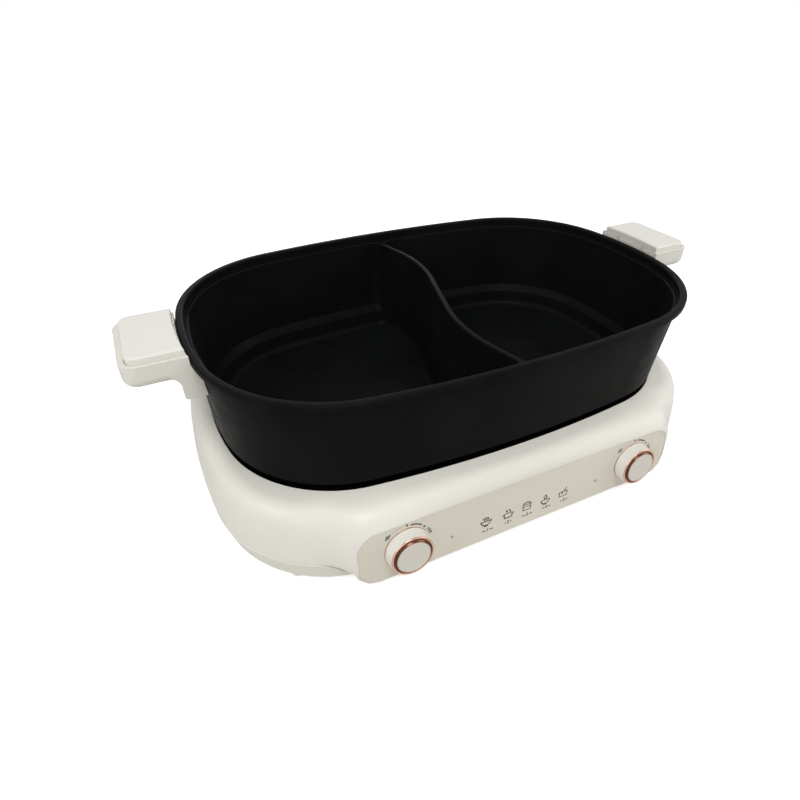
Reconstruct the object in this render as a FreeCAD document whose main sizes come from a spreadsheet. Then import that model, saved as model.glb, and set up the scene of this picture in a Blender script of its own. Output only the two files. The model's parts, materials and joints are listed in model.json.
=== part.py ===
import FreeCAD, Part
import math
import os

import Sketcher
from FreeCAD import Placement, Rotation, Vector

# Electric hot pot: a divided cast pot on a countertop heating base.
# Millimetres. +X runs along the pot to its right handle, -Y is the front with
# the control panel, +Z is up. The origin is on the table under the pot's centre.

SIZES = {
    # Plan of the pot's rim: two long arcs, two end arcs and four corner arcs.
    "rim_half_length": 200.0,
    "rim_half_width": 129.5,
    "rim_side_radius": 924.0,
    "rim_end_radius": 253.0,
    "rim_corner_radius": 99.4,
    # Plan of the heating base, built the same way, wider than the rim all round.
    "base_overhang_length": 7.5,
    "base_overhang_width": 14.8,
    "base_side_radius": 875.0,
    "base_end_radius": 584.0,
    "base_corner_radius": 91.0,
    # Heights of the base.
    "foot_height": 3.0,
    "lower_shell_height": 19.0,
    "upper_shell_height": 42.0,
    "ledge_depth": 28.0,
    # Base mouldings.
    "shell_wall": 2.8,
    "lower_shell_draft": 4.3,
    "seam_step": 0.5,
    "heel": 1.8,
    "flank_radius": 130.0,
    "deck_land": 0.1,
    "well_inset": 10.2,
    "well_wall": 2.4,
    "ledge_width": 8.0,
    "ledge_thickness": 2.5,
    "lip_round": 0.6,
    # Control panel, a flat strip let into the bowed front.
    "panel_half_length": 133.5,
    "panel_half_height": 21.35,
    "panel_corner": 14.0,
    "panel_thickness": 2.2,
    "panel_setback": 1.16,
    "panel_height": 29.6,
    "panel_tilt": 5.73,
    "panel_clearance": 0.15,
    "panel_ledge": 2.5,
    "boss_rim": 0.8,
    "boss_flare": 21.0,
    "boss_setback": 18.5,
    "boss_dip": 10.0,
    "boss_dip_slope": 0.9,
    "boss_foot_drop": 0.3,
    "boss_foot_back": 1.0,
    "boss_crown_drop": 4.0,
    "boss_brow": 1.0,
    "boss_brow_fade": 3.0,
    "boss_brow_depth": 2.0,
    "boss_back": 13.0,
    "boss_throat": 20.5,
    "boss_proud": 0.2,
    "boss_back_gap": 3.0,
    "boss_clearance": 0.25,
    "cut_margin": 2.0,
    "panel_edge_round": 0.4,
    # Knobs.
    "knob_spacing": 98.4,
    "knob_radius": 16.45,
    "knob_front_radius": 15.4,
    "knob_height": 10.6,
    "knob_gap": 0.5,
    "knob_wall": 1.8,
    "knob_ring_width": 2.6,
    "knob_ring_depth": 2.6,
    "knob_ring_proud": 0.2,
    "knob_ring_bevel": 1.1,
    "knob_ring_inner_bevel": 0.8,
    "knob_cap_recess": 0.7,
    "knob_cap_bevel": 0.5,
    "knob_cap_clearance": 0.1,
    "knob_trim_height": 0.7,
    "knob_trim_width": 3.2,
    "knob_trim_proud": 0.6,
    "knob_trim_bevel": 0.3,
    "shaft_radius": 3.0,
    "shaft_clearance": 0.05,
    "hub_radius": 5.0,
    "bush_radius": 4.5,
    "bush_height": 5.0,
    "bush_clearance": 0.1,
    "nut_width": 14.0,
    "nut_thickness": 2.0,
    "thermostat_size": 28.0,
    "thermostat_depth": 13.0,
    "thermostat_corner": 2.5,
    "thermostat_floor": 3.5,
    "shaft_end_gap": 0.5,
    "terminal_width": 6.4,
    "terminal_thickness": 0.8,
    "terminal_length": 3.0,
    "terminal_pitch": 16.0,
    # Pilot lamps beside the knobs.
    "lamp_spacing": 63.85,
    "lamp_drop": 6.8,
    "lens_radius": 1.2,
    "lens_clearance": 0.1,
    "lens_proud": 0.3,
    "lens_flange": 2.4,
    "lens_flange_thickness": 1.0,
    "lamp_radius": 2.0,
    "lamp_length": 9.0,
    # Heating tray and plates in the base's well.
    "tray_clearance": 0.25,
    "tray_wall": 1.0,
    "tray_taper": 2.6,
    "tray_below_lip": 1.6,
    "plate_spacing": 92.0,
    "plate_length": 118.0,
    "plate_width": 168.0,
    "plate_corner": 22.0,
    "plate_thickness": 6.0,
    "plate_leg_height": 5.5,
    "plate_leg_radius": 5.0,
    "plate_leg_inset": 12.0,
    "plate_edge_round": 1.0,
    "element_radius": 2.6,
    "element_inset_x": 24.0,
    "element_inset_y": 26.0,
    "element_corner": 18.0,
    "pin_radius": 2.0,
    "pin_length": 16.0,
    "pin_pitch": 20.0,
    "pin_clearance": 1.0,
    # Cast pot.
    "pot_height": 91.5,
    "flange_thickness": 4.1,
    "flange_wall_inset": 4.4,
    "pot_wall": 4.0,
    "pot_taper": 5.6,
    "shoulder_depth": 70.5,
    "skirt_step": 5.0,
    "skirt_taper": 4.0,
    "rim_bead": 5.8,
    "rim_step": 1.3,
    "rim_step_rise": 1.3,
    "lid_seat_depth": 6.7,
    "inner_ledge_depth": 68.0,
    "inner_ledge_drop": 6.5,
    "inner_ledge_width": 4.5,
    "inner_floor_depth": 88.0,
    "inner_floor_taper": 3.0,
    "floor_fillet": 6.0,
    "pot_heel_round": 4.0,
    "rim_round": 1.8,
    "contact_pad": 1.0,
    "contact_pad_inset": 4.0,
    # S-shaped divider, cast with the pot.
    "divider_sweep": 12.0,
    "divider_radius": 126.0,
    "divider_span": 121.0,
    "divider_half_top": 2.0,
    "divider_half_foot": 4.6,
    "divider_corner": 8.0,
    "divider_round": 1.2,
    # Handles.
    "handle_half_width": 33.5,
    "handle_reach": 39.0,
    "handle_corner": 10.0,
    "handle_rise": 3.0,
    "handle_drop": 13.5,
    "handle_wall": 2.5,
    "handle_end_wall": 4.0,
    "handle_sill": 2.0,
    "sill_rise": 1.8,
    "handle_edge_round": 7.0,
    "arm_drop": 28.0,
    "arm_reach": 6.0,
    "arm_round": 7.0,
    "arm_heel_round": 2.0,
    "arm_overlap": 20.0,
    "pot_clearance": 0.4,
    "cover_rise": 8.0,
    "cover_depth": 3.5,
    "cover_clearance": 0.25,
    "cover_round": 1.5,
    "cover_overhang": 1.4,
    "cover_lip_gap": 0.8,
    "cover_hole_depth": 4.0,
    "ear_half_width": 20.0,
    "ear_reach": 26.0,
    "ear_thickness": 5.0,
    "ear_clearance": 0.15,
    "ear_hole_clearance": 0.5,
    "notch_length": 6.0,
    "notch_width": 3.6,
    "notch_depth": 5.0,
    "notch_spacing": 15.0,
    "handle_screw_spacing": 12.0,
    "handle_screw_reach": 17.0,
    "handle_screw_length": 13.0,
    # Fasteners, feet, vents and the mains inlet.
    "screw_radius": 1.75,
    "screw_head_radius": 3.5,
    "screw_head_height": 2.4,
    "screw_clearance": 0.05,
    "screw_pass_clearance": 0.15,
    "screw_head_clearance": 0.3,
    "screw_head_sink": 0.4,
    "screw_slot_width": 0.9,
    "screw_slot_length": 4.0,
    "screw_slot_depth": 0.8,
    "base_screw_length": 28.0,
    "screw_hole_depth": 16.0,
    "post_radius": 4.6,
    "post_gap": 0.5,
    "post_bearing": 52.0,
    "post_spacing": 62.0,
    "post_height": 27.0,
    "foot_radius": 9.0,
    "foot_recess": 1.0,
    "foot_clearance": 0.1,
    "foot_bevel_width": 2.0,
    "foot_bevel_height": 1.5,
    "foot_inset_x": 79.5,
    "foot_inset_y": 60.3,
    "vent_length": 40.0,
    "vent_width": 3.0,
    "vent_pitch": 8.0,
    "vent_corner": 1.35,
    "vent_count": 9,
    "inlet_width": 30.0,
    "inlet_height": 20.0,
    "inlet_depth": 20.0,
    "inlet_level": 37.0,
    "inlet_wall": 1.6,
    "inlet_back_wall": 3.0,
    "inlet_corner": 2.0,
    "inlet_proud": 1.0,
    "inlet_surround": 2.0,
    "inlet_boss_depth": 9.0,
    "inlet_flange": 3.0,
    "inlet_flange_thickness": 1.6,
    "inlet_pin_radius": 2.0,
    "inlet_pin_pitch": 7.0,
    "inlet_pin_length": 9.0,
    "inlet_earth_rise": 2.5,
    "inlet_pin_drop": 2.0,
    "inlet_clearance": 0.15,
}

doc = FreeCAD.newDocument("HotPot")
sheet = doc.addObject("Spreadsheet::Sheet", "Sizes")


def fill_sheet():
    for row, (name, value) in enumerate(SIZES.items(), start=1):
        sheet.set("A%d" % row, name)
        sheet.set("B%d" % row, str(value))
        sheet.setAlias("B%d" % row, name)
    doc.recompute()


fill_sheet()


class Size:
    """A length with its value and the spreadsheet expression that gives it."""

    def __init__(self, expression, value):
        self.expression = expression
        self.value = value

    def _joined(self, sign, left, right, value):
        return Size("(%s %s %s)" % (term(left), sign, term(right)), value)

    def __add__(self, other):
        return self._joined("+", self, other, self.value + number(other))

    def __radd__(self, other):
        return self._joined("+", other, self, number(other) + self.value)

    def __sub__(self, other):
        return self._joined("-", self, other, self.value - number(other))

    def __rsub__(self, other):
        return self._joined("-", other, self, number(other) - self.value)

    def __mul__(self, factor):
        return self._joined("*", self, factor, self.value * number(factor))

    __rmul__ = __mul__

    def __truediv__(self, divisor):
        return self._joined("/", self, divisor, self.value / number(divisor))

    def __neg__(self):
        return self * -1


def number(size):
    return size.value if isinstance(size, Size) else float(size)


def term(size):
    return size.expression if isinstance(size, Size) else "%.6g" % size


def cell(name):
    return Size("Sizes." + name, float(sheet.get(name)))


class Cells:
    """Reads a spreadsheet alias as an attribute."""

    def __getattr__(self, name):
        return cell(name)


S = Cells()


def bind(target, prop, size):
    if isinstance(size, Size):
        target.setExpression(prop, size.expression)
    else:
        setattr(target, prop, size)


# ---------------------------------------------------------------- plans

base_half_length = S.rim_half_length + S.base_overhang_length
base_half_width = S.rim_half_width + S.base_overhang_width
OUTLINES = {
    "rim": (S.rim_half_length, S.rim_half_width, S.rim_side_radius, S.rim_end_radius, S.rim_corner_radius),
    "base": (base_half_length, base_half_width, S.base_side_radius, S.base_end_radius, S.base_corner_radius),
}
shoulder_reach = S.base_overhang_length + S.well_inset - S.lip_round - S.deck_land
panel_front = base_half_width - S.panel_setback
foot_x = base_half_length - S.foot_inset_x
foot_y = base_half_width - S.foot_inset_y

# ---------------------------------------------------------------- levels

seam_level = S.foot_height + S.lower_shell_height
deck_level = seam_level + S.upper_shell_height
ledge_level = deck_level - S.ledge_depth
tray_floor_level = ledge_level + S.tray_wall
plate_top_level = tray_floor_level + S.plate_leg_height + S.plate_thickness
rim_level = plate_top_level + S.pot_height
wall_slope = S.pot_taper / (S.shoulder_depth - S.flange_thickness)

# ---------------------------------------------------------------- panel boss

boss_depth = panel_front - (S.rim_half_width - S.well_inset + S.well_wall) - S.boss_back_gap
# Stations along the boss from its middle: shares of its straight part, angles round the
# panel's corner, and shares of its flare, setback and dip where it flows into the base's corner.
BOSS_STRAIGHT = (0.0, 0.36, 0.7)
BOSS_CORNER = (0.0, 30.0, 60.0, 90.0)
BOSS_FLOW = ((0.04, 0.015, 1.0), (0.09, 0.08, 1.0), (0.25, 0.33, 1.0), (0.55, 0.65, 0.7), (1.0, 1.0, 0.0))


# ---------------------------------------------------------------- bodies and sketches

def new_body(label):
    body = doc.addObject("PartDesign::Body", label)
    body.Label = label
    return body


def origin_item(body, role):
    for feature in body.Origin.OriginFeatures:
        if feature.Role == role:
            return feature
    raise ValueError(role)


def new_sketch(body, name, role="XY_Plane", level=None, turn=None, shift=None):
    """A sketch on an origin plane, lifted to a level, or turned about its own X."""
    sketch = body.newObject("Sketcher::SketchObject", name)
    sketch.AttachmentSupport = [(origin_item(body, role), "")]
    sketch.MapMode = "FlatFace"
    if turn is not None:
        sketch.AttachmentOffset = Placement(Vector(), Rotation(Vector(1, 0, 0), -1))
        sketch.setExpression(".AttachmentOffset.Rotation.Angle", turn.expression)
    if shift is not None:
        bind(sketch, ".AttachmentOffset.Base.y", shift)
    if level is not None:
        if isinstance(level, Size):
            sketch.setExpression(".AttachmentOffset.Base.z", level.expression)
        else:
            sketch.AttachmentOffset.Base.z = level
    return sketch


def dimension(sketch, kind, *where):
    """Adds a dimension and binds it when its value is a Size."""
    places, size = where[:-1], where[-1]
    index = sketch.addConstraint(Sketcher.Constraint(kind, *places, number(size)))
    if isinstance(size, Size):
        sketch.setExpression("Constraints[%d]" % index, size.expression)
    return index


def link(sketch, kind, *where):
    return sketch.addConstraint(Sketcher.Constraint(kind, *where))


def arc(centre, radius, start, end):
    circle = Part.Circle(Vector(centre[0], centre[1], 0), Vector(0, 0, 1), radius)
    return Part.ArcOfCircle(circle, start, end)


def line(start, end):
    return Part.LineSegment(Vector(start[0], start[1], 0), Vector(end[0], end[1], 0))


def circle_sketch(sketch, radius, x=0.0, y=0.0):
    circle = Part.Circle(Vector(number(x), number(y), 0), Vector(0, 0, 1), number(radius))
    index = sketch.addGeometry(circle, False)
    dimension(sketch, "Radius", index, radius)
    place_point(sketch, index, 3, x, y)
    return index


def place_point(sketch, index, vertex, x, y):
    for kind, axis, value in (("DistanceX", -2, x), ("DistanceY", -1, y)):
        if abs(number(value)) < 1e-9:
            link(sketch, "PointOnObject", index, vertex, axis)
        else:
            dimension(sketch, kind, -1, 1, index, vertex, value)


def box_sketch(sketch, half_x, half_y, corner=None, x=0.0, y=0.0):
    """A centred rectangle, with round corners when a corner radius is given."""
    hx, hy, cx, cy = number(half_x), number(half_y), number(x), number(y)
    if corner is None:
        points = [(cx + hx, cy - hy), (cx + hx, cy + hy), (cx - hx, cy + hy), (cx - hx, cy - hy)]
        first = sketch.addGeometry([line(points[i], points[(i + 1) % 4]) for i in range(4)], False)[0]
        for i in range(4):
            link(sketch, "Coincident", first + i, 2, first + (i + 1) % 4, 1)
            link(sketch, "Vertical" if i % 2 == 0 else "Horizontal", first + i)
        dimension(sketch, "DistanceX", -1, 1, first, 1, x + half_x)
        dimension(sketch, "DistanceX", -1, 1, first + 2, 1, x - half_x)
        dimension(sketch, "DistanceY", -1, 1, first, 2, y + half_y)
        dimension(sketch, "DistanceY", -1, 1, first + 2, 2, y - half_y)
        return first
    r = number(corner)
    shapes = []
    for quarter, (sx, sy) in enumerate(((1, 1), (-1, 1), (-1, -1), (1, -1))):
        turn = quarter * math.pi / 2
        shapes.append(arc((cx + sx * (hx - r), cy + sy * (hy - r)), r, turn, turn + math.pi / 2))
        if quarter % 2 == 0:
            shapes.append(line((cx + sx * (hx - r), cy + sy * hy), (cx - sx * (hx - r), cy + sy * hy)))
        else:
            shapes.append(line((cx + sx * hx, cy + sy * (hy - r)), (cx + sx * hx, cy - sy * (hy - r))))
    first = sketch.addGeometry(shapes, False)[0]
    for i in range(8):
        link(sketch, "Tangent", first + i, 2, first + (i + 1) % 8, 1)
    for i in (2, 4, 6):
        link(sketch, "Equal", first, first + i)
    dimension(sketch, "Radius", first, corner)
    link(sketch, "Horizontal", first + 1)
    link(sketch, "Vertical", first + 3)
    dimension(sketch, "DistanceX", -1, 1, first, 3, x + half_x - corner)
    dimension(sketch, "DistanceX", -1, 1, first + 2, 3, x - half_x + corner)
    dimension(sketch, "DistanceY", -1, 1, first, 3, y + half_y - corner)
    dimension(sketch, "DistanceY", -1, 1, first + 4, 3, y - half_y + corner)
    return first


# ---------------------------------------------------------------- ovals

def oval_values(outline):
    return [size.value for size in OUTLINES[outline]]


def corner_centre(outline):
    """Centre of the corner arc tangent to the long-side arc and the end arc."""
    half_length, half_width, side, end, corner = oval_values(outline)
    side_centre = Vector(0, half_width - side)
    end_centre = Vector(half_length - end, 0)
    from_side = side - corner
    from_end = end - corner
    between = end_centre - side_centre
    gap = between.Length
    along = (from_side ** 2 - from_end ** 2 + gap ** 2) / (2 * gap)
    across = math.sqrt(from_side ** 2 - along ** 2)
    direction = between / gap
    return side_centre + direction * along + Vector(direction.y, -direction.x) * across


def oval_angles(outline):
    """Directions in which the end arc and the long-side arc give way to the corner arc."""
    half_length, half_width, side, end, _ = oval_values(outline)
    centre = corner_centre(outline)
    end_angle = math.atan2(centre.y, centre.x - (half_length - end))
    side_angle = math.atan2(centre.y - (half_width - side), centre.x)
    return end_angle, side_angle


def oval_sketch(body, name, outline, inset, level):
    """The outline offset inwards by the inset: the same centres with shorter radii."""
    sketch = new_sketch(body, name, level=level)
    half_length, half_width, side, end, corner = OUTLINES[outline]
    c = corner_centre(outline)
    low, high = oval_angles(outline)
    end_x = half_length.value - end.value
    side_y = half_width.value - side.value
    r_side, r_end, r_corner = [(size - inset).value for size in (side, end, corner)]
    pi = math.pi
    arcs = [
        arc((end_x, 0), r_end, -low, low),
        arc((c.x, c.y), r_corner, low, high),
        arc((0, side_y), r_side, high, pi - high),
        arc((-c.x, c.y), r_corner, pi - high, pi - low),
        arc((-end_x, 0), r_end, pi - low, pi + low),
        arc((-c.x, -c.y), r_corner, pi + low, pi + high),
        arc((0, -side_y), r_side, pi + high, 2 * pi - high),
        arc((c.x, -c.y), r_corner, 2 * pi - high, 2 * pi - low),
    ]
    sketch.addGeometry(arcs, False)
    for i in range(8):
        link(sketch, "Tangent", i, 2, (i + 1) % 8, 1)
    for twin in ((0, 4), (2, 6), (1, 3), (1, 5), (1, 7)):
        link(sketch, "Equal", *twin)
    dimension(sketch, "Radius", 0, end - inset)
    dimension(sketch, "Radius", 2, side - inset)
    dimension(sketch, "Radius", 1, corner - inset)
    for index, sign in ((0, 1), (4, -1)):
        link(sketch, "PointOnObject", index, 3, -1)
        dimension(sketch, "DistanceX", -1, 1, index, 3, (half_length - end) * sign)
    for index, sign in ((2, 1), (6, -1)):
        link(sketch, "PointOnObject", index, 3, -2)
        dimension(sketch, "DistanceY", -1, 1, index, 3, (half_width - side) * sign)
    return sketch


# ---------------------------------------------------------------- features

def profile_sketch(body, name, shapes, role="XZ_Plane"):
    """A closed profile given as lines and arcs, end to end."""
    sketch = new_sketch(body, name, role)
    sketch.addGeometry(shapes, False)
    return sketch


def polygon(points):
    return [line(points[i], points[(i + 1) % len(points)]) for i in range(len(points))]


def pad(body, sketch, length, name, reverse=False, symmetric=False):
    feature = body.newObject("PartDesign::Pad", name)
    feature.Profile = sketch
    bind(feature, "Length", length)
    feature.Reversed = reverse
    feature.Midplane = symmetric
    doc.recompute()
    return feature


def pocket(body, sketch, length, name, reverse=False):
    before = body.Tip.Shape.Volume
    feature = body.newObject("PartDesign::Pocket", name)
    feature.Profile = sketch
    bind(feature, "Length", length)
    feature.Reversed = reverse
    doc.recompute()
    if feature.Shape.Volume >= before - 1e-6:
        raise ValueError("%s cuts nothing" % name)
    return feature


def sweep(body, profile, path, name):
    feature = body.newObject("PartDesign::AdditivePipe", name)
    feature.Profile = profile
    feature.Spine = (path, [])
    doc.recompute()
    return feature


def loft(body, sketches, name, cut=False):
    before = body.Tip.Shape.Volume if cut else 0.0
    kind = "PartDesign::SubtractiveLoft" if cut else "PartDesign::AdditiveLoft"
    feature = body.newObject(kind, name)
    feature.Profile = sketches[0]
    feature.Sections = sketches[1:]
    feature.Ruled = True
    doc.recompute()
    if cut and feature.Shape.Volume >= before - 1e-6:
        raise ValueError("%s cuts nothing" % name)
    return feature


def revolve(body, sketch, name, cut=False):
    kind = "PartDesign::Groove" if cut else "PartDesign::Revolution"
    feature = body.newObject(kind, name)
    feature.Profile = sketch
    feature.ReferenceAxis = (sketch, ["V_Axis"])
    feature.Angle = 360.0
    doc.recompute()
    return feature


def round_edges(body, chosen, radius, name):
    """Rounds the edges of the body's last feature that the test picks."""
    tip = body.Tip
    names = ["Edge%d" % (i + 1) for i, edge in enumerate(tip.Shape.Edges) if chosen(edge)]
    if not names:
        raise ValueError("%s picks no edge" % name)
    feature = body.newObject("PartDesign::Fillet", name)
    feature.Base = (tip, names)
    bind(feature, "Radius", radius)
    doc.recompute()
    if feature.Shape.isNull():
        raise ValueError("%s has no shape" % name)
    return feature


def half_turn_copy(body, feature, name):
    """Repeats a feature at half a turn about the vertical axis."""
    pattern = body.newObject("PartDesign::PolarPattern", name)
    pattern.Originals = [feature]
    pattern.Axis = (origin_item(body, "Z_Axis"), [""])
    pattern.Angle = 360.0
    pattern.Occurrences = 2
    body.Tip = pattern
    doc.recompute()
    return pattern


def is_full_circle(edge):
    return len(edge.Vertexes) == 1


def level_is(edge, level, tolerance=0.01):
    box = edge.BoundBox
    return abs(box.ZMin - number(level)) < tolerance and abs(box.ZMax - number(level)) < tolerance


# ---------------------------------------------------------------- upper shell

def shell_section(wall):
    """The base's flank and shoulder as two tangent arcs, with the flat deck inside."""
    outer_x = base_half_length.value
    seam, deck = seam_level.value, deck_level.value
    flank, reach = S.flank_radius.value, shoulder_reach.value
    rise = deck - seam
    shoulder = (2 * flank * reach - reach ** 2 - rise ** 2) / (2 * flank - 2 * rise)
    flank_centre = (outer_x - flank, seam)
    shoulder_centre = (outer_x - reach, deck - shoulder)
    tilt = math.atan2(shoulder_centre[1] - flank_centre[1], shoulder_centre[0] - flank_centre[0])
    inner_end = outer_x - 2 * reach
    shapes = [
        arc(flank_centre, flank, 0, tilt),
        arc(shoulder_centre, shoulder, tilt, math.pi / 2),
        line((shoulder_centre[0], deck), (inner_end, deck)),
        line((inner_end, deck), (inner_end, deck - wall)),
        line((inner_end, deck - wall), (shoulder_centre[0], deck - wall)),
        arc(shoulder_centre, shoulder - wall, tilt, math.pi / 2),
        arc(flank_centre, flank - wall, 0, tilt),
        line((outer_x - wall, seam), (outer_x, seam)),
    ]
    return shapes


lean = math.radians(S.panel_tilt.value)
lean_cosine = Size("cos(Sizes.panel_tilt * 1 deg)", math.cos(lean))
lean_sine = Size("sin(Sizes.panel_tilt * 1 deg)", math.sin(lean))


def tilted_sketch(body, name, out):
    """A sketch parallel to the panel's face, a distance out of it."""
    return new_sketch(body, name, "XZ_Plane", panel_front + lean_cosine * out, turn=-S.panel_tilt,
                      shift=S.panel_height + lean_sine * out)


def panel_sketch(body, name, margin, out):
    """The control strip's outline, grown by a margin, on its tilted plane."""
    sketch = tilted_sketch(body, name, out)
    box_sketch(sketch, S.panel_half_length + margin, S.panel_half_height + margin, S.panel_corner + margin)
    return sketch


def front_at(x, inset):
    """How far the base's outline, inset, lies in front of the middle at a place along it."""
    _, half_width, side, _, corner = oval_values("base")
    c = corner_centre("base")
    if x < (side - inset) * math.cos(oval_angles("base")[1]):
        return half_width - side + math.sqrt((side - inset) ** 2 - x ** 2)
    return c.y + math.sqrt((corner - inset) ** 2 - (x - c.x) ** 2)


def boss_stations(gap):
    """Place along the boss, half height of its face there, share of setback, dip of its foot."""
    margin = S.boss_rim.value + gap
    half, tall = S.panel_half_length.value + margin, S.panel_half_height.value + margin
    corner, dip = S.panel_corner.value + margin, S.boss_dip.value
    stations = [((half - corner) * share, tall, 0.0, 0.0) for share in BOSS_STRAIGHT]
    for degrees in BOSS_CORNER:
        turn = math.radians(degrees)
        fall = 1 - math.cos(turn)
        stations.append((half - corner * (1 - math.sin(turn)), tall - corner * fall, 0.0, dip * fall))
    for wide, deep, low in BOSS_FLOW:
        stations.append((half + S.boss_flare.value * wide, tall - corner, deep, dip * low))
    return [(-x, *rest) for x, *rest in reversed(stations[1:])] + stations


def boss_section(body, name, station, gap):
    """The boss cut across: foot, flat face, the brow that rounds up to the deck, and its back."""
    x, tall, deep, dip = station
    back = S.boss_setback.value * deep
    out = S.boss_proud.value + gap

    def on_face(v, behind):
        y = panel_front.value + out * lean_cosine.value - v * lean_sine.value - back - behind
        return Vector(-y, S.panel_height.value + v * lean_cosine.value + out * lean_sine.value)

    foot_back = S.boss_foot_back.value + S.boss_dip_slope.value * dip
    foot = on_face(-tall - S.boss_foot_drop.value - dip - gap, foot_back)
    low, top = on_face(-tall, 0.0), on_face(tall, 0.0)
    brow = S.boss_brow.value * (1 - S.boss_brow_fade.value * deep)
    crown = Vector(-front_at(abs(x), shoulder_reach.value) - brow,
                   deck_level.value - S.boss_crown_drop.value * deep)
    behind = crown + Vector(S.boss_brow_depth.value + 2 * gap, 0)
    throat_y = back + S.boss_back.value + 2 * gap - panel_front.value
    throat = Vector(throat_y, S.panel_height.value + S.boss_throat.value)
    chord = crown - top
    radius = chord.Length ** 2 / (2 * min(abs(chord.x), abs(chord.y)))
    bulge = radius - math.sqrt(radius ** 2 - chord.Length ** 2 / 4)
    middle = (crown + top) / 2 + unit(Vector(-chord.y, chord.x)) * bulge
    corners = [crown, behind, throat, Vector(throat_y, foot.y), foot, low, top]
    shapes = [Part.LineSegment(start, end) for start, end in zip(corners, corners[1:])]
    sketch = new_sketch(body, name, "YZ_Plane", level=x)
    sketch.addGeometry(shapes + [Part.Arc(top, middle, crown)], False)
    return sketch


def boss_sections(body, gap):
    stations = boss_stations(gap)
    return [boss_section(body, "boss_%d" % i, station, gap) for i, station in enumerate(stations)]


def post_places():
    """Screw posts stand against the wall in the base's corners and along its back."""
    c = corner_centre("base")
    inset = S.shell_wall.value + S.post_radius.value + S.post_gap.value
    reach = S.base_corner_radius.value - inset
    turn = math.radians(S.post_bearing.value)
    x, y = c.x + reach * math.cos(turn), c.y + reach * math.sin(turn)
    side = S.base_side_radius.value
    back_x = S.post_spacing.value
    back_y = base_half_width.value - side + math.sqrt((side - inset) ** 2 - back_x ** 2)
    return [(x, y), (-x, y), (x, -y), (-x, -y), (back_x, back_y), (-back_x, back_y)]


def posts(body, name, start, length, radius, cut=False):
    sketch = new_sketch(body, name + "_plan", level=start)
    for x, y in post_places():
        circle_sketch(sketch, radius, x, y)
    return pocket(body, sketch, length, name, reverse=True) if cut else pad(body, sketch, length, name)


def inlet_sketch(body, name, margin, offset):
    """The mains inlet's outline on a plane across the back of the base."""
    sketch = new_sketch(body, name, "XZ_Plane", -(base_half_width + offset))
    box_sketch(sketch, S.inlet_width / 2 + margin, S.inlet_height / 2 + margin, S.inlet_corner + margin,
               y=S.inlet_level)
    return sketch


def upper_shell():
    body = new_body("base_upper_shell")
    outline = oval_sketch(body, "base_outline", "base", 0.0, seam_level)
    section = profile_sketch(body, "shell_section", shell_section(S.shell_wall.value))
    sweep(body, section, outline, "flank_and_shoulder")

    well = S.rim_half_length.value - S.well_inset.value
    low, high = ledge_level.value - S.ledge_thickness.value, deck_level.value - S.shell_wall.value / 2
    skirt = [(well - S.ledge_width.value, low), (well + S.well_wall.value, low),
             (well + S.well_wall.value, high), (well - S.ledge_width.value, high)]
    rim = oval_sketch(body, "well_path", "rim", 0.0, seam_level)
    sweep(body, profile_sketch(body, "skirt_section", polygon(skirt)), rim, "well_skirt")
    pocket(body, oval_sketch(body, "well_mouth", "rim", S.well_inset, deck_level), S.ledge_depth, "well")
    round_edges(body, lambda edge: level_is(edge, deck_level) and on_oval(edge, "rim", S.well_inset),
                S.lip_round, "lip")

    loft(body, boss_sections(body, 0.0), "panel_boss")
    outside = S.boss_proud + S.cut_margin
    pocket(body, panel_sketch(body, "facet_outline", S.boss_rim, outside), S.cut_margin, "front_facet")
    window = panel_sketch(body, "window_outline", -S.panel_ledge, outside)
    pocket(body, window, outside + boss_depth + S.cut_margin, "panel_window")
    recess = panel_sketch(body, "recess_outline", S.panel_clearance, outside)
    pocket(body, recess, outside + S.panel_thickness, "panel_recess")

    posts(body, "screw_posts", seam_level, S.post_height, S.post_radius)
    posts(body, "screw_holes", seam_level, S.screw_hole_depth, S.screw_radius + S.screw_clearance, cut=True)

    surround = inlet_sketch(body, "inlet_surround", S.inlet_flange + S.inlet_surround, S.inlet_proud)
    pad(body, surround, S.inlet_boss_depth, "inlet_boss")
    hole = inlet_sketch(body, "inlet_hole", S.inlet_clearance, S.inlet_proud)
    pocket(body, hole, S.inlet_boss_depth + S.shell_wall, "inlet_opening", reverse=True)
    seat = inlet_sketch(body, "inlet_seat", S.inlet_flange + S.inlet_clearance, S.inlet_proud)
    pocket(body, seat, S.inlet_flange_thickness, "inlet_flange_seat", reverse=True)
    return body


def on_oval(edge, outline, inset):
    """True where an edge's middle lies on the inset outline."""
    half_length, half_width, side, end, corner = oval_values(outline)
    point = edge.valueAt((edge.FirstParameter + edge.LastParameter) / 2)
    x, y = abs(point.x), abs(point.y)
    c = corner_centre(outline)
    low, high = oval_angles(outline)
    gap = number(inset)
    turn = math.atan2(y - c.y, x - c.x)
    if turn < low:
        return abs(math.hypot(x - half_length + end, y) - end + gap) < 0.05
    if turn > high:
        return abs(math.hypot(x, y - half_width + side) - side + gap) < 0.05
    return abs(math.hypot(x - c.x, y - c.y) - corner + gap) < 0.05


# ---------------------------------------------------------------- lower shell

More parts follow.
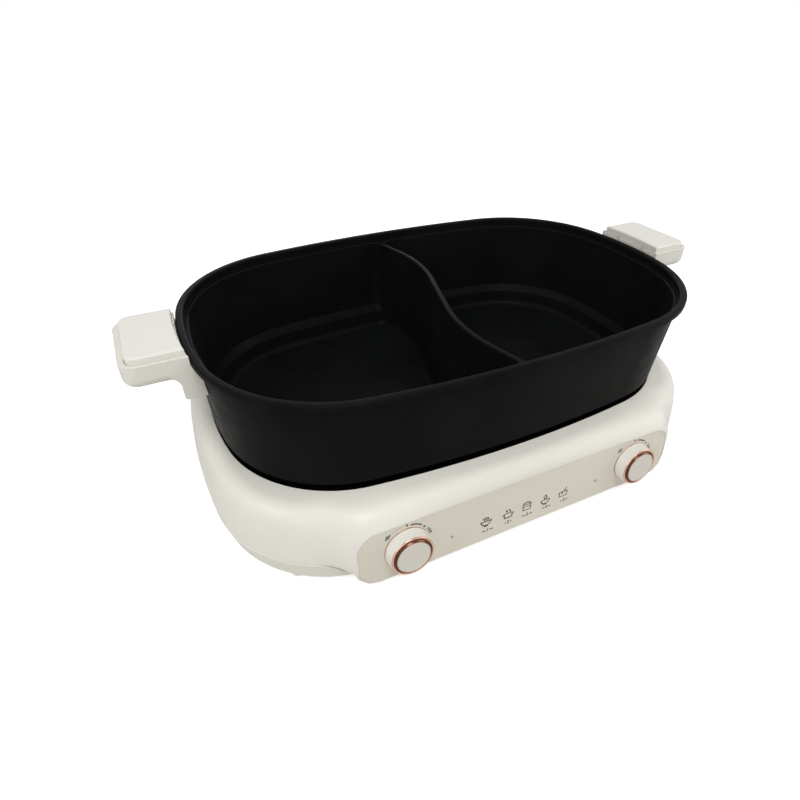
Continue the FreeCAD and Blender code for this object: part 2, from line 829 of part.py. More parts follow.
def lower_shell():
    body = new_body("base_lower_shell")
    wall = S.shell_wall
    draft = S.lower_shell_draft
    floor_inset = draft * (wall / S.lower_shell_height)
    outer = [oval_sketch(body, "underside", "base", draft + S.heel, S.foot_height),
             oval_sketch(body, "heel_top", "base", draft, S.foot_height + S.heel),
             oval_sketch(body, "seam", "base", -S.seam_step, seam_level)]
    loft(body, outer, "tub")
    inner = [oval_sketch(body, "floor", "base", draft + wall - floor_inset, S.foot_height + wall),
             oval_sketch(body, "mouth", "base", wall, seam_level)]
    loft(body, inner, "hollow", cut=True)
    loft(body, boss_sections(body, S.boss_clearance.value), "panel_notch", cut=True)
    face = panel_sketch(body, "notch_face", S.boss_rim + S.boss_clearance, S.boss_proud + S.cut_margin)
    pocket(body, face, S.cut_margin, "notch_front")

    posts(body, "screw_posts", S.foot_height + wall / 2, S.lower_shell_height - wall / 2, S.post_radius)
    shank, head = S.screw_radius + S.screw_clearance, S.screw_head_radius + S.screw_head_clearance
    posts(body, "screw_holes", S.foot_height, S.lower_shell_height, shank, cut=True)
    posts(body, "head_recesses", S.foot_height, S.screw_head_height, head, cut=True)

    feet = new_sketch(body, "foot_seats_plan", level=S.foot_height)
    for sx, sy in ((1, 1), (-1, 1), (-1, -1), (1, -1)):
        circle_sketch(feet, S.foot_radius + S.foot_clearance, foot_x * sx, foot_y * sy)
    pocket(body, feet, S.foot_recess, "foot_seats", reverse=True)

    slot = new_sketch(body, "vent_plan", level=S.foot_height)
    count = int(S.vent_count.value)
    row_length = S.vent_pitch * (count - 1)
    box_sketch(slot, S.vent_width / 2, S.vent_length / 2, S.vent_corner, x=-row_length / 2)
    vent = pocket(body, slot, wall, "vent", reverse=True)
    row = body.newObject("PartDesign::LinearPattern", "vents")
    row.Originals = [vent]
    row.Direction = (origin_item(body, "X_Axis"), [""])
    bind(row, "Length", row_length)
    row.Occurrences = count
    body.Tip = row
    doc.recompute()
    return body


# ---------------------------------------------------------------- feet and base screws

def placed(body, x, y, z, rotation=None):
    body.Placement = Placement(Vector(number(x), number(y), number(z)), rotation or Rotation())
    return body


def foot(label, x, y):
    body = new_body(label)
    height = S.foot_height + S.foot_recess
    r, h = S.foot_radius.value, height.value
    sole = r - S.foot_bevel_width.value
    shapes = polygon([(0, 0), (sole, 0), (r, S.foot_bevel_height.value), (r, h), (0, h)])
    revolve(body, profile_sketch(body, "section", shapes), "pad")
    return placed(body, x, y, 0.0)


def feet():
    made = []
    corners = (("back_right", 1, 1), ("back_left", -1, 1), ("front_left", -1, -1), ("front_right", 1, -1))
    for name, sx, sy in corners:
        made.append(foot("foot_" + name, foot_x * sx, foot_y * sy))
    return made


def screw_shape(length):
    """A pan-head screw standing on its head at the origin."""
    top = S.screw_head_height.value - S.screw_head_sink.value
    head = Part.makeCylinder(S.screw_head_radius.value, top)
    shank = Part.makeCylinder(S.screw_radius.value, length.value, Vector(0, 0, top))
    wide, deep = S.screw_slot_width.value, S.screw_slot_depth.value
    reach = S.screw_slot_length.value
    drive = Part.makeBox(wide, reach, deep, Vector(-wide / 2, -reach / 2, 0))
    cross = Part.makeBox(reach, wide, deep, Vector(-reach / 2, -wide / 2, 0))
    return head.fuse(shank).cut(drive).cut(cross)


def screw_group(label, places, length):
    """Identical screws as separate solids of one node."""
    group = doc.addObject("Part::Feature", label)
    group.Label = label
    solids = []
    for x, y, z in places:
        screw = screw_shape(length)
        screw.translate(Vector(x, y, z))
        solids.append(screw)
    group.Shape = Part.makeCompound(solids)
    return group


def base_screws():
    z = S.foot_height.value + S.screw_head_sink.value
    return screw_group("base_screws", [(x, y, z) for x, y in post_places()], S.base_screw_length)


# ---------------------------------------------------------------- control panel

def on_panel(body, x=0.0, v=0.0, out=0.0):
    """Places a body modelled in the panel's own frame: X along it, Y up it, Z out of it."""
    outward = Vector(0, -math.cos(lean), math.sin(lean))
    upward = Vector(0, math.sin(lean), math.cos(lean))
    origin = Vector(0, -panel_front.value, S.panel_height.value)
    place = origin + Vector(number(x), 0, 0) + upward * number(v) + outward * number(out)
    body.Placement = Placement(place, Rotation(Vector(1, 0, 0), 90 - S.panel_tilt.value))
    return body


def control_panel():
    body = new_body("control_panel")
    face = new_sketch(body, "outline", level=-S.panel_thickness)
    box_sketch(face, S.panel_half_length, S.panel_half_height, S.panel_corner)
    pad(body, face, S.panel_thickness, "strip")
    holes = new_sketch(body, "hole_plan")
    for side in (1, -1):
        circle_sketch(holes, S.bush_radius + S.bush_clearance, S.knob_spacing * side)
        circle_sketch(holes, S.lens_radius + S.lens_clearance, S.lamp_spacing * side, -S.lamp_drop)
    pocket(body, holes, S.panel_thickness, "holes")
    round_edges(body, lambda edge: level_is(edge, 0.0) and not is_full_circle(edge), S.panel_edge_round,
                "front_edge")
    return on_panel(body)


# ---------------------------------------------------------------- knobs

def knob(side, sign):
    """One knob in the panel's frame: a hollow barrel, its metal ring, cap, shaft and trim."""
    r0, r1 = S.knob_radius.value, S.knob_front_radius.value
    wall, h = S.knob_wall.value, S.knob_height.value
    gap = S.knob_gap.value + S.knob_trim_height.value
    ring_low = h - S.knob_ring_depth.value
    ring_inner = r1 - S.knob_ring_width.value
    shaft_r = S.shaft_radius.value
    hub = S.hub_radius.value
    bore = shaft_r + S.shaft_clearance.value
    web = ring_low - wall
    hub_low = S.bush_height.value - S.panel_thickness.value + S.knob_gap.value
    slope = (r0 - r1) / h

    barrel = new_body("knob_barrel_" + side)
    outer_top = r0 - slope * ring_low
    shapes = polygon([(0, web), (bore, web), (bore, hub_low), (hub, hub_low), (hub, web),
                      (outer_top - wall, web), (r0 - slope * gap - wall, gap), (r0 - slope * gap, gap),
                      (outer_top, ring_low), (0, ring_low)])
    revolve(barrel, profile_sketch(barrel, "section", shapes), "turned_barrel")

    ring = new_body("knob_ring_" + side)
    bevel, inner_bevel = S.knob_ring_bevel.value, S.knob_ring_inner_bevel.value
    ring_r = r1 + S.knob_ring_proud.value
    shapes = polygon([(ring_inner, ring_low), (ring_r, ring_low), (ring_r, h - bevel), (ring_r - bevel, h),
                      (ring_inner + inner_bevel, h), (ring_inner, h - inner_bevel)])
    revolve(ring, profile_sketch(ring, "section", shapes), "turned_ring")

    cap = new_body("knob_cap_" + side)
    cap_r = ring_inner - S.knob_cap_clearance.value
    cap_bevel = S.knob_cap_bevel.value
    top = h - S.knob_cap_recess.value
    shapes = polygon([(0, ring_low), (cap_r, ring_low), (cap_r, top - cap_bevel), (cap_r - cap_bevel, top),
                      (0, top)])
    revolve(cap, profile_sketch(cap, "section", shapes), "disc")

    shaft = new_body("knob_shaft_" + side)
    back = (S.thermostat_floor + S.shaft_end_gap - S.panel_thickness - S.thermostat_depth).value
    shapes = polygon([(0, back), (shaft_r, back), (shaft_r, web), (0, web)])
    revolve(shaft, profile_sketch(shaft, "section", shapes), "rod")

    trim = new_body("knob_trim_" + side)
    trim_h = S.knob_trim_height.value
    trim_r = r0 + S.knob_trim_proud.value
    trim_in = trim_r - S.knob_trim_width.value
    trim_bevel = S.knob_trim_bevel.value
    shapes = polygon([(trim_in, 0), (trim_r, 0), (trim_r, trim_h - trim_bevel), (trim_r - trim_bevel, trim_h),
                      (trim_in, trim_h)])
    revolve(trim, profile_sketch(trim, "section", shapes), "collar")

    for body in (barrel, ring, cap, shaft, trim):
        on_panel(body, x=S.knob_spacing * sign)
    return [barrel, ring, cap, shaft, trim]


def thermostat(side, sign):
    """A rotary thermostat behind the panel, its threaded bush held by a nut in front."""
    body = new_body("thermostat_" + side)
    half = S.thermostat_size / 2
    case = new_sketch(body, "case_outline", level=-(S.panel_thickness + S.thermostat_depth))
    box_sketch(case, half, half, S.thermostat_corner)
    pad(body, case, S.thermostat_depth, "case")
    neck = new_sketch(body, "bush_outline", level=-S.panel_thickness)
    circle_sketch(neck, S.bush_radius)
    pad(body, neck, S.bush_height, "bush")
    bore = new_sketch(body, "bore_outline", level=S.bush_height - S.panel_thickness)
    circle_sketch(bore, S.shaft_radius + S.shaft_clearance)
    pocket(body, bore, S.bush_height + S.thermostat_depth - S.thermostat_floor, "bore")
    tabs = new_sketch(body, "tab_plan", level=-(S.panel_thickness + S.thermostat_depth))
    for place in (-1, 1):
        box_sketch(tabs, S.terminal_width / 2, S.terminal_thickness / 2, x=S.terminal_pitch / 2 * place)
    pad(body, tabs, S.terminal_length, "terminals", reverse=True)

    nut = new_body("shaft_nut_" + side)
    plan = new_sketch(nut, "plan")
    radius = S.nut_width.value / math.sqrt(3)
    corners = [(radius * math.cos(math.pi / 3 * i), radius * math.sin(math.pi / 3 * i)) for i in range(6)]
    plan.addGeometry(polygon(corners), False)
    pad(nut, plan, S.nut_thickness, "hexagon")
    hole = new_sketch(nut, "hole", level=S.nut_thickness)
    circle_sketch(hole, S.bush_radius + S.bush_clearance / 2)
    pocket(nut, hole, S.nut_thickness, "thread")
    for item in (body, nut):
        on_panel(item, x=S.knob_spacing * sign)
    return [body, nut]


def pilot_lamp(side, sign):
    """A small lens seen through the panel, and the lamp behind it."""
    lens = new_body("lamp_lens_" + side)
    r, flange, back = S.lens_radius.value, S.lens_flange.value, -S.panel_thickness.value
    seat, proud = back - S.lens_flange_thickness.value, S.lens_proud.value
    shapes = polygon([(0, seat), (flange, seat), (flange, back), (r, back), (r, 0), (r - proud, proud),
                      (0, proud)])
    revolve(lens, profile_sketch(lens, "section", shapes), "button")
    lamp = new_body("lamp_" + side)
    bulb_r, low = S.lamp_radius.value, seat - S.lamp_length.value
    shapes = polygon([(0, low), (bulb_r, low), (bulb_r, seat), (0, seat)])
    revolve(lamp, profile_sketch(lamp, "section", shapes), "bulb")
    for item in (lens, lamp):
        on_panel(item, x=S.lamp_spacing * sign, v=-S.lamp_drop)
    return [lens, lamp]


# ---------------------------------------------------------------- heating tray and plates

def heating_tray():
    body = new_body("heating_tray")
    wall, taper = S.tray_wall, S.tray_taper
    outer = S.well_inset + S.tray_clearance
    top = deck_level - S.tray_below_lip
    x0 = S.rim_half_length.value - outer.value
    shapes = polygon([(x0, top.value), (x0 - taper.value, ledge_level.value),
                      (x0 - taper.value - 2 * wall.value, ledge_level.value),
                      (x0 - taper.value - 2 * wall.value, tray_floor_level.value),
                      (x0 - taper.value - wall.value, tray_floor_level.value), (x0 - wall.value, top.value)])
    path = oval_sketch(body, "tray_path", "rim", 0.0, ledge_level)
    sweep(body, profile_sketch(body, "tray_section", shapes), path, "tray_wall")
    floor = oval_sketch(body, "tray_floor", "rim", outer + taper + wall, ledge_level)
    pad(body, floor, wall, "tray_bottom")
    holes = new_sketch(body, "pin_holes", level=tray_floor_level)
    for x, y in pin_places():
        circle_sketch(holes, S.pin_radius + S.pin_clearance, x, y)
    pocket(body, holes, wall, "pin_passages")
    return body


def pin_places():
    """Two cold pins leave each plate towards the front."""
    reach = S.plate_width / 2 - S.element_inset_y
    places = []
    for sign in (1, -1):
        for side in (-1, 1):
            places.append((S.plate_spacing * sign + S.pin_pitch / 2 * side, -reach))
    return places


def heater_plate(side, sign):
    """A cast plate on four legs, with its tubular element as a bead underneath."""
    body = new_body("heater_plate_" + side)
    underside = plate_top_level - S.plate_thickness
    plan = new_sketch(body, "plate_plan", level=underside)
    box_sketch(plan, S.plate_length / 2, S.plate_width / 2, S.plate_corner, x=S.plate_spacing * sign)
    pad(body, plan, S.plate_thickness, "plate")
    legs = new_sketch(body, "leg_plan", level=tray_floor_level)
    for sx, sy in ((1, 1), (-1, 1), (-1, -1), (1, -1)):
        x = S.plate_spacing * sign + (S.plate_length / 2 - S.plate_leg_inset) * sx
        circle_sketch(legs, S.plate_leg_radius, x, (S.plate_width / 2 - S.plate_leg_inset) * sy)
    pad(body, legs, S.plate_leg_height, "legs")
    path = new_sketch(body, "element_path", level=underside)
    reach = S.plate_length / 2 - S.element_inset_x
    box_sketch(path, reach, S.plate_width / 2 - S.element_inset_y, S.element_corner, x=S.plate_spacing * sign)
    bead = new_sketch(body, "element_section", "XZ_Plane")
    circle_sketch(bead, S.element_radius, S.plate_spacing * sign + reach, underside)
    sweep(body, bead, path, "element_bead")
    round_edges(body, lambda edge: level_is(edge, plate_top_level), S.plate_edge_round, "plate_edge")
    return body


def element_pins():
    """The four cold pins, standing under the plates and through the tray."""
    top = plate_top_level - S.plate_thickness - S.element_radius
    group = doc.addObject("Part::Feature", "element_pins")
    group.Label = "element_pins"
    pins = []
    for x, y in pin_places():
        start = Vector(number(x), number(y), top.value - S.pin_length.value)
        pins.append(Part.makeCylinder(S.pin_radius.value, S.pin_length.value, start))
    group.Shape = Part.makeCompound(pins)
    return group


# ---------------------------------------------------------------- mains inlet

def mains_inlet():
    body = new_body("mains_inlet")
    flange = inlet_sketch(body, "flange", S.inlet_flange, S.inlet_proud)
    pad(body, flange, S.inlet_flange_thickness, "flange_plate")
    pad(body, inlet_sketch(body, "case", 0.0, S.inlet_proud), S.inlet_depth, "case_block")
    mouth = inlet_sketch(body, "mouth", -S.inlet_wall, S.inlet_proud)
    pocket(body, mouth, S.inlet_depth - S.inlet_back_wall, "socket", reverse=True)
    socket_floor = base_half_width + S.inlet_proud - S.inlet_depth + S.inlet_back_wall
    pins = new_sketch(body, "pins", "XZ_Plane", -socket_floor)
    circle_sketch(pins, S.inlet_pin_radius, 0.0, S.inlet_level + S.inlet_earth_rise)
    for side in (-1, 1):
        circle_sketch(pins, S.inlet_pin_radius, S.inlet_pin_pitch * side, S.inlet_level - S.inlet_pin_drop)
    pad(body, pins, S.inlet_pin_length, "contact_pins", reverse=True)
    return body


# ---------------------------------------------------------------- cast pot

def unit(vector):
    return vector / vector.Length


def tangent_point(outside, centre, radius, side):
    """Where the tangent from a point touches a circle; side chooses one of the two."""
    between = centre - outside
    gap = between.Length
    reach = math.sqrt(gap ** 2 - radius ** 2)
    along = reach * reach / gap
    across = reach * radius / gap
    u = between / gap
    return outside + u * along + Vector(-u.y, u.x) * (across * side)


def divider_line():
    """Centres and tangent points of the S, for its rear half; the front half is its half-turn."""
    radius = S.divider_radius.value
    span = S.divider_span.value
    centre = Vector(S.divider_sweep.value - radius, span / 2)
    start = tangent_point(Vector(), centre, radius, -1)
    finish = tangent_point(Vector(0, span), centre, radius, 1)
    return centre, start, finish


def corner_fillet(foot, direction, normal, side_centre, side_radius, fillet):
    """Round between the divider's end line and the long side arc, both as seen from inside."""
    base = foot + normal * fillet
    reach = side_radius - fillet
    offset = base - side_centre
    half = offset.dot(direction)
    step = -half + math.sqrt(half ** 2 - offset.dot(offset) + reach ** 2)
    centre = base + direction * step
    on_line = centre - normal * fillet
    on_side = side_centre + unit(centre - side_centre) * side_radius
    return centre, on_line, on_side


def arc_between(start, centre, finish):
    """The shorter arc from start to finish."""
    radius = (start - centre).Length
    middle = centre + unit((start - centre) + (finish - centre)) * radius
    return Part.Arc(start, middle, finish)


def compartment_shapes(inset, half):
    """Plan of the right compartment: the inset rim outline, closed by one flank of the S."""
    half_length, half_width, side, end, corner = oval_values("rim")
    c = corner_centre("rim")
    low, high = oval_angles("rim")
    fillet = S.divider_corner.value
    rear, rear_in, rear_out = divider_line()
    front = -rear
    flank_rear, flank_front = S.divider_radius.value + half, S.divider_radius.value - half

    def on_rear(point):
        return rear + unit(point - rear) * flank_rear

    def on_front(point):
        return front + unit(-point - front) * flank_front

    side_rear = Vector(0, half_width - side)
    side_front = -side_rear
    end_centre = Vector(half_length - end, 0)
    r_side, r_end, r_corner = side - inset, end - inset, corner - inset

    rear_up = unit(Vector(0, S.divider_span.value) - rear_out)
    rear_normal = unit(rear_out - rear)
    top = corner_fillet(on_rear(rear_out), rear_up, rear_normal, side_rear, r_side, fillet)
    front_down = -rear_up
    front_normal = rear_normal
    bottom = corner_fillet(on_front(rear_out), front_down, front_normal, side_front, r_side, fillet)

    def corner_points(sign):
        centre = Vector(c.x, c.y * sign)
        on_end = centre + Vector(math.cos(low), math.sin(low) * sign) * r_corner
        on_side = centre + Vector(math.cos(high), math.sin(high) * sign) * r_corner
        return centre, on_end, on_side

    rear_corner, rear_end, rear_side = corner_points(1)
    front_corner, front_end, front_side = corner_points(-1)
    return [
        arc_between(front_end, end_centre, rear_end),
        arc_between(rear_end, rear_corner, rear_side),
        arc_between(rear_side, side_rear, top[2]),
        arc_between(top[2], top[0], top[1]),
        Part.LineSegment(top[1], on_rear(rear_out)),
        arc_between(on_rear(rear_out), rear, on_rear(rear_in)),
        Part.LineSegment(on_rear(rear_in), on_front(rear_in)),
        arc_between(on_front(rear_in), front, on_front(rear_out)),
        Part.LineSegment(on_front(rear_out), bottom[1]),
        arc_between(bottom[1], bottom[0], bottom[2]),
        arc_between(bottom[2], side_front, front_side),
        arc_between(front_side, front_corner, front_end),
    ]


def compartment_sketch(body, name, depth, inset, half):
    sketch = new_sketch(body, name, level=rim_level - depth)
    sketch.addGeometry(compartment_shapes(number(inset), number(half)), False)
    return sketch


def divider_half(depth):
    """The divider thickens evenly from its top to its foot."""
    share = (depth - S.lid_seat_depth) / (S.inner_floor_depth - S.lid_seat_depth)
    return S.divider_half_top + (S.divider_half_foot - S.divider_half_top) * share


def wall_inset(depth):
    """Outside of the pot's wall at a depth below the rim."""
    return S.flange_wall_inset + (depth - S.flange_thickness) * wall_slope


def pot():
    body = new_body("pot")
    pot_floor = plate_top_level + S.contact_pad
    shoulder = rim_level - S.shoulder_depth
    skirt_top = wall_inset(S.shoulder_depth) + S.skirt_step
    skirt = [oval_sketch(body, "pot_underside", "rim", skirt_top + S.skirt_taper, pot_floor),
             oval_sketch(body, "skirt_top", "rim", skirt_top, shoulder)]
    loft(body, skirt, "skirt")
    round_edges(body, lambda edge: level_is(edge, pot_floor), S.pot_heel_round, "pot_heel")
    wall = [oval_sketch(body, "shoulder_edge", "rim", wall_inset(S.shoulder_depth), shoulder),
            oval_sketch(body, "wall_top", "rim", S.flange_wall_inset, rim_level - S.flange_thickness)]
    loft(body, wall, "wall")
    flange = oval_sketch(body, "flange_outline", "rim", 0.0, rim_level - S.flange_thickness)
    pad(body, flange, S.flange_thickness, "flange")

    ear = new_sketch(body, "ear_plan", level=rim_level - S.flange_thickness - S.ear_thickness)
    ear_in = S.rim_half_length - 2 * S.flange_wall_inset
    ear_out = S.rim_half_length + S.ear_reach
    for sign in (1, -1):
        box_sketch(ear, (ear_out - ear_in) / 2, S.ear_half_width, None, x=(ear_out + ear_in) / 2 * sign)
    pad(body, ear, S.ear_thickness, "handle_ears")
    holes = new_sketch(body, "ear_hole_plan", level=rim_level - S.flange_thickness)
    for x, y in handle_screw_places():
        for sign in (1, -1):
            circle_sketch(holes, S.screw_radius + S.ear_hole_clearance, x * sign, y)
    pocket(body, holes, S.ear_thickness, "ear_holes")

    bead = oval_sketch(body, "bead_inside", "rim", S.rim_bead, rim_level)
    pocket(body, bead, S.lid_seat_depth - S.rim_step_rise, "lid_recess")
    step = oval_sketch(body, "lid_step", "rim", S.rim_bead + S.rim_step, rim_level)
    pocket(body, step, S.lid_seat_depth, "lid_seat")

    seat_inset = wall_inset(S.flange_thickness) + S.pot_wall
    ledge_inset = wall_inset(S.inner_ledge_depth) + S.pot_wall
    step_inset = ledge_inset + S.inner_ledge_width
    low = S.inner_ledge_depth + S.inner_ledge_drop
    levels = [(S.lid_seat_depth, seat_inset), (S.inner_ledge_depth, ledge_inset), (low, step_inset),
              (S.inner_floor_depth, step_inset + S.inner_floor_taper)]
    sections = []
    for number_of, (depth, inset) in enumerate(levels):
        name = "compartment_%d" % number_of
        sections.append(compartment_sketch(body, name, depth, inset, divider_half(depth)))
    hollow = loft(body, sections, "compartment", cut=True)
    half_turn_copy(body, hollow, "compartments")

    floor_level = rim_level - S.inner_floor_depth
    round_edges(body, lambda edge: level_is(edge, floor_level), S.floor_fillet, "floor_rounding")
    seat_level = rim_level - S.lid_seat_depth
    round_edges(body, lambda edge: level_is(edge, seat_level) and not on_oval(edge, "rim", seat_inset)
                and not on_oval(edge, "rim", S.rim_bead + S.rim_step), S.divider_round, "divider_top")
    round_edges(body, lambda edge: level_is(edge, rim_level), S.rim_round, "rim_rounding")

    pads = new_sketch(body, "contact_plan", level=plate_top_level)
    for sign in (1, -1):
        box_sketch(pads, S.plate_length / 2 - S.contact_pad_inset, S.plate_width / 2 - S.contact_pad_inset,
                   S.plate_corner - S.contact_pad_inset, x=S.plate_spacing * sign)
    pad(body, pads, S.contact_pad, "contact_pads")
    return body


# ---------------------------------------------------------------- handles

def handle_screw_places():
    x = S.rim_half_length.value + S.handle_screw_reach.value
    return [(x, S.handle_screw_spacing.value), (x, -S.handle_screw_spacing.value)]


def grip_sketch(body, name, level, inner, side, end, corner):
    """A block beside the pot: its pot side follows the rim's end arc."""
    half_length, _, _, end_radius, _ = oval_values("rim")
    sketch = new_sketch(body, name, level=level)
    centre = Vector(half_length - end_radius, 0)
    radius = end_radius + number(inner)
    y = S.handle_half_width.value - number(side)
    x = half_length + S.handle_reach.value - number(end)
    r = number(corner)
    reach = centre.x + math.sqrt(radius ** 2 - y ** 2)
    shapes = [
        arc_between(Vector(reach, y), centre, Vector(reach, -y)),
        Part.LineSegment(Vector(reach, -y), Vector(x - r, -y)),
        arc_between(Vector(x - r, -y), Vector(x - r, r - y), Vector(x, r - y)),
        Part.LineSegment(Vector(x, r - y), Vector(x, y - r)),
        arc_between(Vector(x, y - r), Vector(x - r, y - r), Vector(x - r, y)),
        Part.LineSegment(Vector(x - r, y), Vector(reach, y)),
    ]
    sketch.addGeometry(shapes, False)
    return sketch


def half_turned(body, side):
    if side == "left":
        body.Placement = Placement(Vector(), Rotation(Vector(0, 0, 1), 180))
    return body


def handle_tray(side):
    body = new_body("handle_tray_" + side)
    top, bottom = rim_level + S.handle_rise, rim_level - S.handle_drop
    under_flange = rim_level - S.flange_thickness - S.pot_clearance
    grip = grip_sketch(body, "grip_plan", bottom, S.pot_clearance, 0.0, 0.0, S.handle_corner)
    pad(body, grip, top - bottom, "grip")
    corner_start = (S.rim_half_length + S.handle_reach - S.handle_corner).value
    round_edges(body, lambda edge: level_is(edge, bottom) and edge.BoundBox.XMin > corner_start - 0.01,
                S.handle_edge_round, "grip_heel")
    arm = new_sketch(body, "arm_plan", level=rim_level - S.arm_drop)
    inner_x = S.rim_half_length - S.arm_overlap
    outer_x = S.rim_half_length + S.arm_reach
    box_sketch(arm, (outer_x - inner_x) / 2, S.handle_half_width, None, x=(outer_x + inner_x) / 2)
    pad(body, arm, S.arm_drop - S.flange_thickness - S.pot_clearance, "arm")
    round_edges(body, lambda edge: level_is(edge, bottom) and abs(edge.BoundBox.XMax - outer_x.value) < 0.01
                and edge.BoundBox.XLength < 0.01, S.arm_round, "arm_root")
    round_edges(body, lambda edge: level_is(edge, rim_level - S.arm_drop)
                and abs(edge.BoundBox.XMin - outer_x.value) < 0.01, S.arm_heel_round, "arm_heel")

    low_depth = S.arm_drop + S.cut_margin
    low_inset = wall_inset(low_depth) - S.pot_clearance
    high_inset = wall_inset(S.flange_thickness) - S.pot_clearance
    against = [oval_sketch(body, "wall_low", "rim", low_inset, rim_level - low_depth),
               oval_sketch(body, "wall_high", "rim", high_inset, under_flange)]
    loft(body, against, "wall_relief", cut=True)

    recess = grip_sketch(body, "cover_seat_plan", top, S.handle_sill, S.handle_wall, S.handle_end_wall,
                         S.handle_corner - S.handle_wall)
    pocket(body, recess, S.cover_depth, "cover_seat")
    sill = grip_sketch(body, "sill_plan", top, 0.0, S.handle_wall, S.handle_end_wall,
                       S.handle_corner - S.handle_wall)
    pocket(body, sill, S.handle_rise - S.sill_rise, "sill")
    ear_top = rim_level - S.flange_thickness
    ear = new_sketch(body, "ear_slot_plan", level=ear_top + S.ear_clearance)
    ear_end = S.rim_half_length + S.ear_reach + S.ear_clearance
    box_sketch(ear, (ear_end - inner_x) / 2, S.ear_half_width + S.ear_clearance,
               x=(ear_end + inner_x) / 2)
    pocket(body, ear, S.ear_thickness + 2 * S.ear_clearance, "ear_slot")
    screws = new_sketch(body, "screw_plan", level=bottom)
    heads = new_sketch(body, "head_plan", level=bottom)
    for x, y in handle_screw_places():
        circle_sketch(screws, S.screw_radius + S.screw_pass_clearance, x, y)
        circle_sketch(heads, S.screw_head_radius + S.screw_head_clearance, x, y)
    pocket(body, screws, S.handle_drop + S.handle_rise, "screw_holes", reverse=True)
    pocket(body, heads, S.screw_head_height - S.screw_head_sink, "head_recesses", reverse=True)
    notches = new_sketch(body, "notch_plan", level=top)
    for sign in (1, -1):
        box_sketch(notches, S.notch_length / 2, S.notch_width / 2, None, x=S.rim_half_length,
                   y=S.notch_spacing * sign)
    pocket(body, notches, S.notch_depth, "hook_notches")
    return half_turned(body, side)


def handle_cover(side):
    body = new_body("handle_cover_" + side)
    seat = rim_level + S.handle_rise - S.cover_depth
    gap = S.cover_clearance
    lip_level = rim_level + S.sill_rise + S.cover_lip_gap
    plug = grip_sketch(body, "plug_plan", seat, S.handle_sill + gap, S.handle_wall + gap,
                       S.handle_end_wall + 2 * gap, S.handle_corner - S.handle_wall - gap)
    pad(body, plug, lip_level - seat, "plug")
    plan = grip_sketch(body, "cover_plan", lip_level, S.cover_overhang, S.handle_wall + gap,
                       S.handle_end_wall + 2 * gap, S.handle_corner - S.handle_wall - gap)
    pad(body, plan, rim_level + S.cover_rise - lip_level, "slab")
    round_edges(body, lambda edge: level_is(edge, rim_level + S.cover_rise), S.cover_round, "top_edge")
    holes = new_sketch(body, "hole_plan", level=seat)
    for x, y in handle_screw_places():
        circle_sketch(holes, S.screw_radius + S.screw_clearance, x, y)
    pocket(body, holes, S.cover_hole_depth, "screw_holes", reverse=True)
    return half_turned(body, side)


def handle_screws(side):
    sign = 1 if side == "right" else -1
    low = rim_level.value - S.handle_drop.value
    places = [(x * sign, y * sign, low) for x, y in handle_screw_places()]
    return screw_group("handle_screws_" + side, places, S.handle_screw_length)


# ---------------------------------------------------------------- assembly

def build():
    parts = [upper_shell(), lower_shell(), control_panel(), heating_tray(), mains_inlet(), pot(),
             base_screws(), element_pins()]
    parts += feet()
    for side, sign in (("right", 1), ("left", -1)):
        parts += knob(side, sign)
        parts += thermostat(side, sign)
        parts += pilot_lamp(side, sign)
        parts.append(heater_plate(side, sign))
        parts += [handle_tray(side), handle_cover(side), handle_screws(side)]
    doc.recompute()
    return parts


def check(parts):
    for item in doc.Objects:
        if "Invalid" in item.State or "Error" in item.State:
            raise ValueError("%s: %s" % (item.Label, item.State))
    for item in parts:
        if item.Shape.isNull() or not item.Shape.isValid():
            raise ValueError("%s has no valid shape" % item.Label)


def export(parts):
    os.makedirs("parts", exist_ok=True)
    for item in parts:
        item.Shape.exportStep("parts/%s.step" % item.Label)


parts = build()
check(parts)
export(parts)
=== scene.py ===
import json
import math

import bmesh
import bpy
import numpy as np
from mathutils import Matrix, Vector
from mathutils.kdtree import KDTree


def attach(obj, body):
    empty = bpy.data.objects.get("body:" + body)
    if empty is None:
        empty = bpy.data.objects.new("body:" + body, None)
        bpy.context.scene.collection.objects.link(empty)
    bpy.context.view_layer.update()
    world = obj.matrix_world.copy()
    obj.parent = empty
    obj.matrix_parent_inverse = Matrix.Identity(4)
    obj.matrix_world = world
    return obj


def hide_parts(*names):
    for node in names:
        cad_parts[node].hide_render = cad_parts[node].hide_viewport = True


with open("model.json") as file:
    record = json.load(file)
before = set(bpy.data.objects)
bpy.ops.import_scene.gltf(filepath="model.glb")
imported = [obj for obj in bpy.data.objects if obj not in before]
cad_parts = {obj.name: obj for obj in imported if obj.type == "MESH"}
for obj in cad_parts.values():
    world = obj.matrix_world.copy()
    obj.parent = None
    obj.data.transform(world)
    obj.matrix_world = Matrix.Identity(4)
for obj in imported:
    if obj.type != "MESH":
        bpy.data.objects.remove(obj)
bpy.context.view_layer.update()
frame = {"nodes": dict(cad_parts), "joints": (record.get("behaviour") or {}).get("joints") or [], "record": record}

NODES = frame["nodes"]
MM = 0.001


def new_object(name, data):
    """A new object in the scene."""
    made = bpy.data.objects.new(name, data)
    bpy.context.scene.collection.objects.link(made)
    return made


# ---------------------------------------------------------------- colours and node helpers

# Nearly all of a noise texture's values lie between these two.
NOISE_LOW, NOISE_HIGH = 0.3, 0.7


def linear(red, green, blue):
    """An sRGB colour in 0 to 255 as linear values with alpha."""
    def channel(value):
        value /= 255
        return value / 12.92 if value <= 0.04045 else ((value + 0.055) / 1.055) ** 2.4
    return (channel(red), channel(green), channel(blue), 1.0)


def grey(level):
    return (level, level, level, 1.0)


def tinted(colour, factor):
    """A linear colour made lighter or darker by a factor."""
    return tuple(min(channel * factor, 1) for channel in colour[:3]) + (1.0,)


